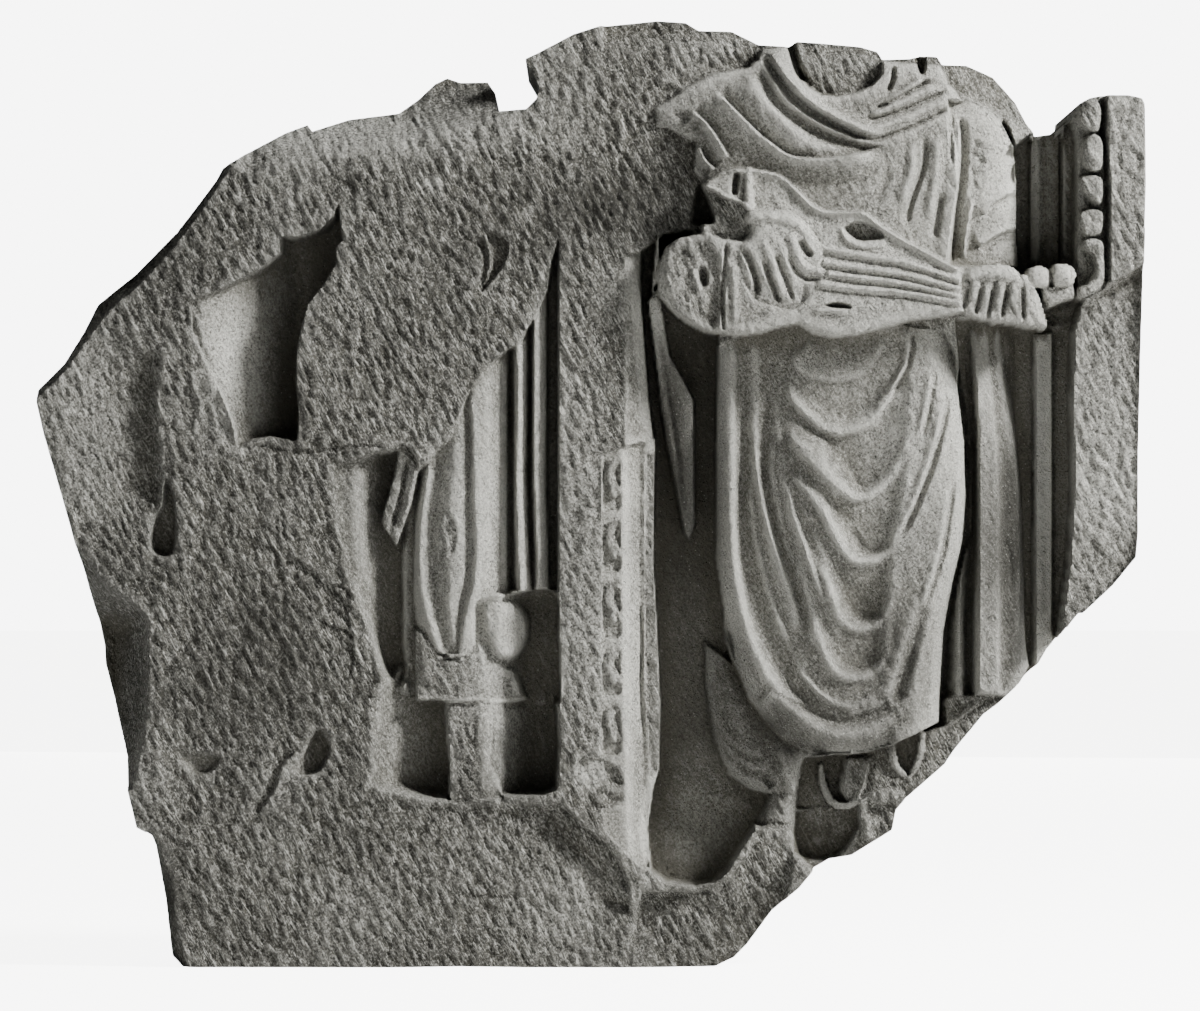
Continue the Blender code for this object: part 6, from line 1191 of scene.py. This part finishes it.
def close_block(mesh, rings, knock):
    """Carries the face's edge back in rings, knocked in a little at each, and closes back and foot flat."""
    bm = bmesh.new()
    bm.from_mesh(mesh)
    broken = bm.verts.layers.float.get("broken")
    rim = [e for e in bm.edges if e.is_boundary]
    middle = SIDE_MIDDLE * (CAD_LOW.z + CAD_HIGH.z)
    for ring in range(rings):
        made = bmesh.ops.extrude_edge_only(bm, edges=rim)["geom"]
        rim = [g for g in made if isinstance(g, bmesh.types.BMEdge) and g.is_boundary]
        verts = list({v for e in rim for v in e.verts})
        places = np.array([v.co[:] for v in verts])
        share = 1.0 / (rings - ring)
        places[:, 1] += (BACK - places[:, 1]) * share
        across = np.arctan2(places[:, 2] - middle, places[:, 0]) * SIDE_RADIUS / UNIT
        deep = places[:, 1] / UNIT
        dent = MEAN_DENT
        for height, scale, seed in SIDE_DENTS:
            dent = dent + height * lattice_noise(across, deep, scale, seed)
        inward = knock * dent / np.hypot(places[:, 0], places[:, 2] - middle)
        if ring == rings - 1:
            inward = inward * BACK_DENT
        places[:, 0] -= places[:, 0] * inward
        places[:, 2] -= (places[:, 2] - middle) * inward
        for vert, place in zip(verts, places):
            vert.co = place
            vert[broken] = 1.0
    bmesh.ops.holes_fill(bm, edges=rim, sides=0)
    whole = bm.verts[:] + bm.edges[:] + bm.faces[:]
    bmesh.ops.bisect_plane(bm, geom=whole, dist=MERGE, plane_co=(0, 0, 0), plane_no=(0, 0, -1),
                           clear_outer=True)
    bmesh.ops.holes_fill(bm, edges=[e for e in bm.edges if e.is_boundary], sides=0)
    bmesh.ops.triangulate(bm, faces=bm.faces[:])
    bmesh.ops.recalc_face_normals(bm, faces=bm.faces[:])
    for face in bm.faces:
        if face.normal.y > DRESSED or face.normal.z < -DRESSED:
            face.material_index = DRESSED_SLOT
    bm.to_mesh(mesh)
    bm.free()


def mark_surface(mesh, relief, cell):
    """Stores on the face how broken and hollow each point is, its pale and dark marks of painted light and
    shade, and its wear and painted highlight.
    """
    places = vertex_places(mesh)
    x, y = to_sheet(places[:, 0], places[:, 2])
    col = np.clip(np.rint((x - relief.low[0]) / cell).astype(int), 0, relief.x.shape[1] - 1)
    row = np.clip(np.rint((y - relief.low[1]) / cell).astype(int), 0, relief.x.shape[0] - 1)
    wide, near = [soften(soften(relief.h, round(reach / cell)), round(reach / cell))
                  for reach in (WIDE_HOLLOW, NEAR_HOLLOW)]
    strength, scale, seed = PATINA_CHANCE
    painted_light_and_tone = strength * lattice_noise(relief.x, relief.y, scale, seed)
    for at_x, at_y, reach_x, reach_y, amount in PAINTED_LIGHT_AND_TONE:
        painted_light_and_tone += amount * np.exp(-((relief.x - at_x) / reach_x) ** 2 - ((relief.y - at_y) / reach_y) ** 2)
    # Pale marks are painted light and dark marks are painted shade, with some uneven tone of the stone
    dark = np.clip(-painted_light_and_tone, 0, 1)
    # Raised edges: paler with wear and with painted highlight
    raised = np.clip((relief.h - near) / WEAR_AND_HIGHLIGHT_HEIGHT, 0, 1)
    marks = {
        "broken": relief.rough,
        "pale": np.clip(painted_light_and_tone, 0, 1),
        "dark": dark,
        "hollow_shade": np.clip((wide - relief.h) / HOLLOW_DEPTH, 0, 1),
        "worn_and_highlit": raised * (1 - ROUGH_LOSS * relief.rough) * (1 - dark),
    }
    for name, values in marks.items():
        layer = mesh.attributes.new(name, "FLOAT", "POINT")
        layer.data.foreach_set("value", values[row, col].astype(np.float32))


def make_fragment(stone, finish):
    """The whole stone as one closed mesh, with its finishes."""
    cell = stone.cell / UNIT
    relief = carved_relief(cell)
    block = thinned(sheet_mesh(relief), stone.facets)
    mark_surface(block, relief, cell)
    block.materials.clear()
    for name, tooled in (("schist_face", False), ("schist_dressed", True)):
        block.materials.append(schist_material(name, finish, tooled))
    close_block(block, stone.side_rings, stone.side_knock)
    block.set_sharp_from_angle(angle=SHARP_ANGLE)
    block.name = "carved_stone"
    piece = bpy.data.objects.new("carved_stone", block)
    bpy.context.scene.collection.objects.link(piece)
    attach(piece, "root")
    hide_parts("frieze_fragment")
    return piece


def node_group(name, inputs, outputs):
    """An empty shader group with inputs, each with its kind and default, and outputs, each with its kind."""
    group = bpy.data.node_groups.new(name, "ShaderNodeTree")
    for label, kind, value in inputs:
        socket = group.interface.new_socket(label, in_out="INPUT", socket_type=kind)
        if value is not None:
            socket.default_value = value
    for label, kind in outputs:
        group.interface.new_socket(label, in_out="OUTPUT", socket_type=kind)
    return group


def add_node(tree, kind, at, settings=(), values=()):
    """A node placed on the tree, with its settings and socket values."""
    node = tree.nodes.new(kind)
    node.location = at
    for key, value in dict(settings).items():
        setattr(node, key, value)
    for key, value in dict(values).items():
        node.inputs[key].default_value = value
    return node


def fed(tree, kind, source, at, values=(), settings=()):
    """The first output of a node with a source led into its first socket."""
    node = add_node(tree, kind, at, settings, values)
    tree.links.new(source, node.inputs[0])
    return node.outputs[0]


def spread(tree, source, low, high, at):
    """A value stretched so that low is 0 and high is 1."""
    return fed(tree, "ShaderNodeMapRange", source, at, {"From Min": low, "From Max": high})


def combined(tree, operation, first, second, at):
    """Two values worked into one."""
    node = add_node(tree, "ShaderNodeMath", at, {"operation": operation})
    tree.links.new(first, node.inputs[0])
    tree.links.new(second, node.inputs[1])
    return node.outputs[0]


def grain_group():
    """Fine grain, cleavage streaks and flecks, light specks, small pits and clouds of schist."""
    group = node_group("schist_grain", [
        ("Vector", "NodeSocketVector", None),
        ("Speck Size", "NodeSocketFloat", 420.0),
    ], [(name, "NodeSocketFloat") for name in ("Grain", "Streak", "Fleck", "Speck", "Pit", "Cloud")])
    link = group.links.new
    start = add_node(group, "NodeGroupInput", (-900, 0)).outputs
    end = add_node(group, "NodeGroupOutput", (500, 0)).inputs
    here = start["Vector"]
    turned = fed(group, "ShaderNodeMapping", here, (-700, 0), {"Rotation": (0.0, CLEAVAGE_TURN, 0.0)})
    slim = fed(group, "ShaderNodeMapping", turned, (-600, -20), {"Scale": (300.0, 600.0, 1100.0)})
    thin = fed(group, "ShaderNodeMapping", turned, (-600, 180),
               {"Location": (3.0, 5.0, 7.0), "Scale": (230.0, 600.0, 1500.0)})
    noises = {}
    for row, (name, place, values) in enumerate([
        ("Grain", here, {"Scale": 1000.0, "Detail": 4.0, "Roughness": 0.7}),
        ("Streak", slim, {"Scale": 1.0, "Detail": 3.0, "Roughness": 0.65, "Distortion": 1.3}),
        ("Fleck", thin, {"Scale": 1.0, "Detail": 2.0, "Roughness": 0.6, "Distortion": 1.0}),
        ("Pit", here, {"Scale": 520.0, "Detail": 2.0}),
        ("Cloud", here, {"Scale": 34.0, "Detail": 5.0, "Roughness": 0.6}),
    ]):
        noises[name] = fed(group, "ShaderNodeTexNoise", place, (-400, 300 - 250 * row), values)
    noises["Pit"] = spread(group, noises["Pit"], 0.38, 0.28, (-100, -450))
    for name, noise in noises.items():
        link(noise, end[name])
    cells = add_node(group, "ShaderNodeTexVoronoi", (-400, -950), {"feature": "F1"}, {"Randomness": 1.0})
    link(here, cells.inputs["Vector"])
    link(start["Speck Size"], cells.inputs["Scale"])
    link(spread(group, cells.outputs["Distance"], 0.14, 0.05, (-100, -950)), end["Speck"])
    return group


def tint_group():
    """Mixes one colour over another by a mask and a share of it."""
    group = node_group("stone_tint", [
        ("Under", "NodeSocketColor", None),
        ("Over", "NodeSocketColor", None),
        ("Mask", "NodeSocketFloat", 0.0),
        ("Share", "NodeSocketFloat", 1.0),
    ], [("Colour", "NodeSocketColor")])
    link = group.links.new
    start = add_node(group, "NodeGroupInput", (-500, 0)).outputs
    end = add_node(group, "NodeGroupOutput", (300, 0))
    part = add_node(group, "ShaderNodeMath", (-250, -100), {"operation": "MULTIPLY", "use_clamp": True})
    mix = add_node(group, "ShaderNodeMix", (0, 0), {"data_type": "RGBA"})
    link(start["Mask"], part.inputs[0])
    link(start["Share"], part.inputs[1])
    link(part.outputs[0], mix.inputs[MIX_SHARE])
    link(start["Under"], mix.inputs[MIX_UNDER])
    link(start["Over"], mix.inputs[MIX_OVER])
    link(mix.outputs[MIX_RESULT], end.inputs["Colour"])
    return group


def shared_group(name, build):
    """The group of that name, built once."""
    return bpy.data.node_groups.get(name) or build()


def layered(tree, base, layers):
    """A colour with others laid over it in turn, each by its mask and share."""
    colour = base
    for row, (over, mask, share) in enumerate(layers):
        node = add_node(tree, "ShaderNodeGroup", (80 * row - 1000, 200),
                        {"node_tree": shared_group("stone_tint", tint_group)}, {"Over": over, "Share": share})
        tree.links.new(mask, node.inputs["Mask"])
        if row:
            tree.links.new(colour, node.inputs["Under"])
        else:
            node.inputs["Under"].default_value = base
        colour = node.outputs["Colour"]
    return colour


def schist_material(name, finish, tooled):
    """Grey schist: dusty where carved, darker and streaked where broken as painted shade for its
    micro-shadows, and brown painted shade in its hollows.
    """
    material = bpy.data.materials.new(name)
    material.use_nodes = True
    tree = material.node_tree
    link = tree.links.new
    shader = tree.nodes["Principled BSDF"]
    shader.inputs["Specular IOR Level"].default_value = SCHIST_SHEEN
    where = add_node(tree, "ShaderNodeTexCoord", (-1500, 0)).outputs["Object"]
    grains = add_node(tree, "ShaderNodeGroup",
    (-1250, 0), {"node_tree": shared_group("schist_grain", grain_group)})
    link(where, grains.inputs["Vector"])
    grain = grains.outputs
    broken, pale, dark, hollow_shade, worn_and_highlit = [
        add_node(tree, "ShaderNodeAttribute",
        (-1500, -250 - 180 * row), {"attribute_name": mark}).outputs["Fac"]
        for row, mark in enumerate(("broken", "pale", "dark", "hollow_shade", "worn_and_highlit"))]

    def where_marked(grain_name, low, high, mark, row):
        return combined(tree, "MULTIPLY", spread(tree, grain[grain_name], low, high, (-900, row)), mark,
        (-800, row))

    shade = tuple(SHADE * v for v in finish.broken[:3]) + (1.0,)
    dust_and_light = tuple(finish.dust_and_light)
    colour = layered(tree, tuple(finish.carved), [
        # Broken stone: a darker colour and dark streaks, painted shade for the micro-shadows of the break
        (tuple(finish.broken), broken, 1.0),
        (shade, where_marked("Streak", 0.58, 0.45, broken, -100), 0.9),
        (dust_and_light, where_marked("Fleck", 0.54, 0.66, broken, -200), 0.85),
        (shade, spread(tree, grain["Cloud"], 0.46, 0.66, (-900, -300)), 0.55),
        (dust_and_light, spread(tree, grain["Grain"], 0.5, 0.68, (-900, -400)), 0.55),
        (shade, spread(tree, grain["Grain"], 0.48, 0.34, (-900, -500)), 0.6),
        # Pale marks: the dust colour laid on as painted light
        (dust_and_light, where_marked("Grain", 0.34, 0.56, pale, -600), 0.85),
        # Dark marks: painted shade
        (shade, dark, 0.8),
        # Hollows: brown painted shade
        (tuple(finish.hollow_shade), hollow_shade, 0.65),
        # Raised edges: wear and painted highlight
        (dust_and_light, worn_and_highlit, 0.7),
        (dust_and_light, grain["Speck"], 0.55),
    ])
    link(colour, shader.inputs["Base Color"])
    rough = fed(tree, "ShaderNodeMapRange", grain["Grain"], (-300, -100),
                {"To Min": finish.roughness - 0.1, "To Max": finish.roughness + 0.12})
    link(rough, shader.inputs["Roughness"])
    depth = spread(tree, broken, -0.1, 1.0, (-700, -400))
    flakes = combined(tree, "MULTIPLY", grain["Streak"], depth, (-500, -400))
    cleft = add_node(tree, "ShaderNodeBump", (-300, -450),
    values={"Strength": 1.0, "Distance": finish.flake_depth})
    link(flakes, cleft.inputs["Height"])
    height = grain["Grain"]
    if tooled:
        turned = fed(tree, "ShaderNodeMapping", where, (-1250, -600), {"Rotation": (0.0, TOOLING_TURN, 0.0)})
        cuts = add_node(tree, "ShaderNodeTexWave",
        (-1000, -600), {"wave_type": "BANDS", "bands_direction": "X"},
                        {"Scale": 26.0, "Distortion": 5.0, "Detail": 2.0, "Detail Scale": 8.0})
        link(turned, cuts.inputs["Vector"])
        both = add_node(tree, "ShaderNodeMath",
        (-400, -600), {"operation": "MULTIPLY_ADD"}, {1: TOOLING_SHARE})
        link(cuts.outputs[1], both.inputs[0])
        link(height, both.inputs[2])
        height = both.outputs[0]
    bump = add_node(tree, "ShaderNodeBump", (-150, -450), values={"Strength": 1.0, "Distance": GRAIN_DEPTH})
    link(combined(tree, "SUBTRACT", height, grain["Pit"], (-350, -600)), bump.inputs["Height"])
    link(cleft.outputs["Normal"], bump.inputs["Normal"])
    link(bump.outputs["Normal"], shader.inputs["Normal"])
    return material


def make_floor(stage):
    """A plain pale floor that blends into the air behind it."""
    bm = bmesh.new()
    bmesh.ops.create_circle(bm, cap_ends=True, segments=96, radius=FLOOR_RADIUS)
    mesh = bpy.data.meshes.new("studio_floor")
    bm.to_mesh(mesh)
    bm.free()
    floor = bpy.data.objects.new("studio_floor", mesh)
    bpy.context.scene.collection.objects.link(floor)
    paint = bpy.data.materials.new("pale_floor")
    paint.use_nodes = True
    tree = paint.node_tree
    shader = tree.nodes["Principled BSDF"]
    shader.inputs["Base Color"].default_value = stage.floor
    shader.inputs["Roughness"].default_value = 0.9
    shader.inputs["Specular IOR Level"].default_value = 0.0
    shader.inputs["Emission Color"].default_value = stage.floor
    ray = add_node(tree, "ShaderNodeLightPath", (-500, -200)).outputs["Is Camera Ray"]
    glow = fed(tree, "ShaderNodeMath", ray, (-300, -200), {1: stage.floor_glow}, {"operation": "MULTIPLY"})
    tree.links.new(glow, shader.inputs["Emission Strength"])
    mesh.materials.append(paint)
    floor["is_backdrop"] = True


def make_air(stage):
    """Even light from all round, and the bright air that the camera sees."""
    world = bpy.data.worlds.new("studio_air")
    world.use_nodes = True
    tree = world.node_tree
    link = tree.links.new
    air = tree.nodes["Background"]
    air.inputs["Color"].default_value = WHITE
    air.inputs["Strength"].default_value = stage.air
    seen = add_node(tree, "ShaderNodeBackground", (0, -200),
    values={"Color": WHITE, "Strength": stage.backdrop})
    pick = add_node(tree, "ShaderNodeMixShader", (250, 0))
    link(add_node(tree, "ShaderNodeLightPath", (0, 300)).outputs["Is Camera Ray"], pick.inputs["Fac"])
    link(air.outputs["Background"], pick.inputs[1])
    link(seen.outputs["Background"], pick.inputs[2])
    link(pick.outputs["Shader"], tree.nodes["World Output"].inputs["Surface"])
    bpy.context.scene.world = world


def make_lights(stage):
    """A soft key light from the upper right, and weak fills in front and behind."""
    low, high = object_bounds()
    middle = (low + high) / 2
    # Power, size, distance, degrees in front of the plane of the stone, and degrees up from its right
    for name, power, size, away, turn, rise in (
        ("key_softbox", stage.key_power, 0.36, 1.9, 19.0, 36.0),
        ("front_fill", stage.fill_power, 2.0, 2.6, 80.0, 100.0),
        ("rear_fill", stage.rear_power, 2.0, 2.6, -70.0, 60.0),
    ):
        light = bpy.data.lights.new(name, "AREA")
        light.energy = power
        light.size = size
        lamp = bpy.data.objects.new(name, light)
        bpy.context.scene.collection.objects.link(lamp)
        flat, up = math.radians(turn), math.radians(rise)
        aim = mathutils.Vector((math.cos(flat) * math.cos(up), -math.sin(flat),
                                math.cos(flat) * math.sin(up)))
        lamp.location = middle + aim * away
        lamp.rotation_euler = aim.to_track_quat("Z", "Y").to_euler()


def make_camera(stage):
    """The camera, square to the carved face and as far away as its lens needs."""
    lens = bpy.data.cameras.new("studio_camera")
    lens.lens = stage.lens
    lens.sensor_width = SENSOR
    lens.clip_end = 100.0
    camera = bpy.data.objects.new("studio_camera", lens)
    bpy.context.scene.collection.objects.link(camera)
    away = PHOTO_WIDE * UNIT * stage.lens / SENSOR
    camera.location = ((PHOTO_WIDE / 2 - SHEET_CENTRE) * UNIT, BACK - FACE_HEIGHT - away,
                       (SHEET_FOOT - PHOTO_TALL / 2) * UNIT)
    camera.rotation_euler = (math.radians(90), 0.0, 0.0)
    bpy.context.scene.camera = camera


def colour_property(name, description, default):
    """A colour that can be set."""
    return FloatVectorProperty(name=name, description=description, size=4, subtype="COLOR", min=0.0, max=1.0,
                               default=default)


def number_property(name, description, default, unit="NONE"):
    """A number that can be set and isn't negative."""
    return FloatProperty(name=name, description=description, default=default, min=0.0, unit=unit)


class FriezeStone(bpy.types.PropertyGroup):
    """Sizes of the stone's mesh."""
    cell: FloatProperty(name="Carving Cell", description="Spacing of the grid that the face is carved on",
                        default=1.8 * UNIT, min=0.5 * UNIT, unit="LENGTH")
    facets: IntProperty(name="Facets", description="Triangles kept on the carved face", default=165000,
    min=1000)
    side_rings: IntProperty(name="Side Rings", description="Steps from the face's edge to the back",
                            default=8, min=1)
    side_knock: number_property("Side Knock", "How far the broken sides are dented in", 0.0016, "LENGTH")


class FriezeFinish(bpy.types.PropertyGroup):
    """Colours and roughness of the schist."""
    carved: colour_property("Carved Colour", "Schist where it is carved", (0.44, 0.432, 0.382, 1.0))
    # Darker than the carved colour as painted shade for the micro-shadows of broken stone
    broken: colour_property("Broken Colour", "Schist where it is broken", (0.128, 0.123, 0.1, 1.0))
    # Colour of the painted shade laid in the hollows
    hollow_shade: colour_property("Hollow Colour", "Earth left in the hollows", (0.125, 0.114, 0.083, 1.0))
    # Pale dust, flecks and specks, also laid on as painted light on pale marks and as painted highlight on
    # raised edges
    dust_and_light: colour_property("Dust Colour", "Pale dust and worn edges", (0.8, 0.79, 0.72, 1.0))
    flake_depth: number_property("Flake Depth", "Depth of the cleavage flakes where it is broken", 0.006,
                                 "LENGTH")
    roughness: FloatProperty(name="Roughness", description="Mean roughness of the schist", default=0.78,
                             min=0.2, max=0.88, subtype="FACTOR")


class FriezeStage(bpy.types.PropertyGroup):
    """Floor, lights and camera."""
    floor: colour_property("Floor Colour", "Colour of the floor", (0.86, 0.86, 0.85, 1.0))
    floor_glow: number_property("Floor Glow", "Light of its own that the floor shows the camera", 7.6)
    backdrop: number_property("Backdrop", "Brightness of the air behind the stone", 7.4)
    air: number_property("Air", "Strength of the even light from all round", 0.038)
    key_power: number_property("Key Power", "Power of the light at the right", 112.0, "POWER")
    fill_power: number_property("Fill Power", "Power of the light in front", 0.9, "POWER")
    rear_power: number_property("Rear Power", "Power of the light behind", 30.0, "POWER")
    lens: FloatProperty(name="Lens", description="Focal length of the camera in millimetres", default=250.0,
                        min=20.0, subtype="DISTANCE_CAMERA")


class FRIEZE_OT_carve_stone(bpy.types.Operator):
    """Carves the stone, gives it its finish and puts it in place of the plain block"""
    bl_idname = "frieze.carve_stone"
    bl_label = "Carve Stone"

    def execute(self, context):
        make_fragment(context.scene.frieze_stone, context.scene.frieze_finish)
        return {"FINISHED"}


class FRIEZE_OT_set_stage(bpy.types.Operator):
    """Lays the floor and sets the lights and the camera"""
    bl_idname = "frieze.set_stage"
    bl_label = "Set Stage"

    def execute(self, context):
        for make in (make_floor, make_air, make_lights, make_camera):
            make(context.scene.frieze_stage)
        return {"FINISHED"}


class FRIEZE_PT_panel(bpy.types.Panel):
    """Lists the frieze's operators and values"""
    bl_label = "Frieze Fragment"
    bl_idname = "FRIEZE_PT_panel"
    bl_space_type = "VIEW_3D"
    bl_region_type = "UI"
    bl_category = "Frieze"

    def draw(self, context):
        for owner, operator in ((context.scene.frieze_stone, "frieze.carve_stone"),
                                (context.scene.frieze_finish, None),
                                (context.scene.frieze_stage, "frieze.set_stage")):
            box = self.layout.box()
            for name in owner.__annotations__:
                box.prop(owner, name)
            if operator:
                box.operator(operator)


CLASSES = (FriezeStone, FriezeFinish, FriezeStage,
           FRIEZE_OT_carve_stone, FRIEZE_OT_set_stage, FRIEZE_PT_panel)


def register():
    for each in CLASSES:
        bpy.utils.register_class(each)
    bpy.types.Scene.frieze_stone = PointerProperty(type=FriezeStone)
    bpy.types.Scene.frieze_finish = PointerProperty(type=FriezeFinish)
    bpy.types.Scene.frieze_stage = PointerProperty(type=FriezeStage)


def unregister():
    for name in ("frieze_stone", "frieze_finish", "frieze_stage"):
        delattr(bpy.types.Scene, name)
    for each in reversed(CLASSES):
        bpy.utils.unregister_class(each)


def main():
    register()
    bpy.ops.frieze.carve_stone()
    bpy.ops.frieze.set_stage()


if __name__ == "__main__":
    main()
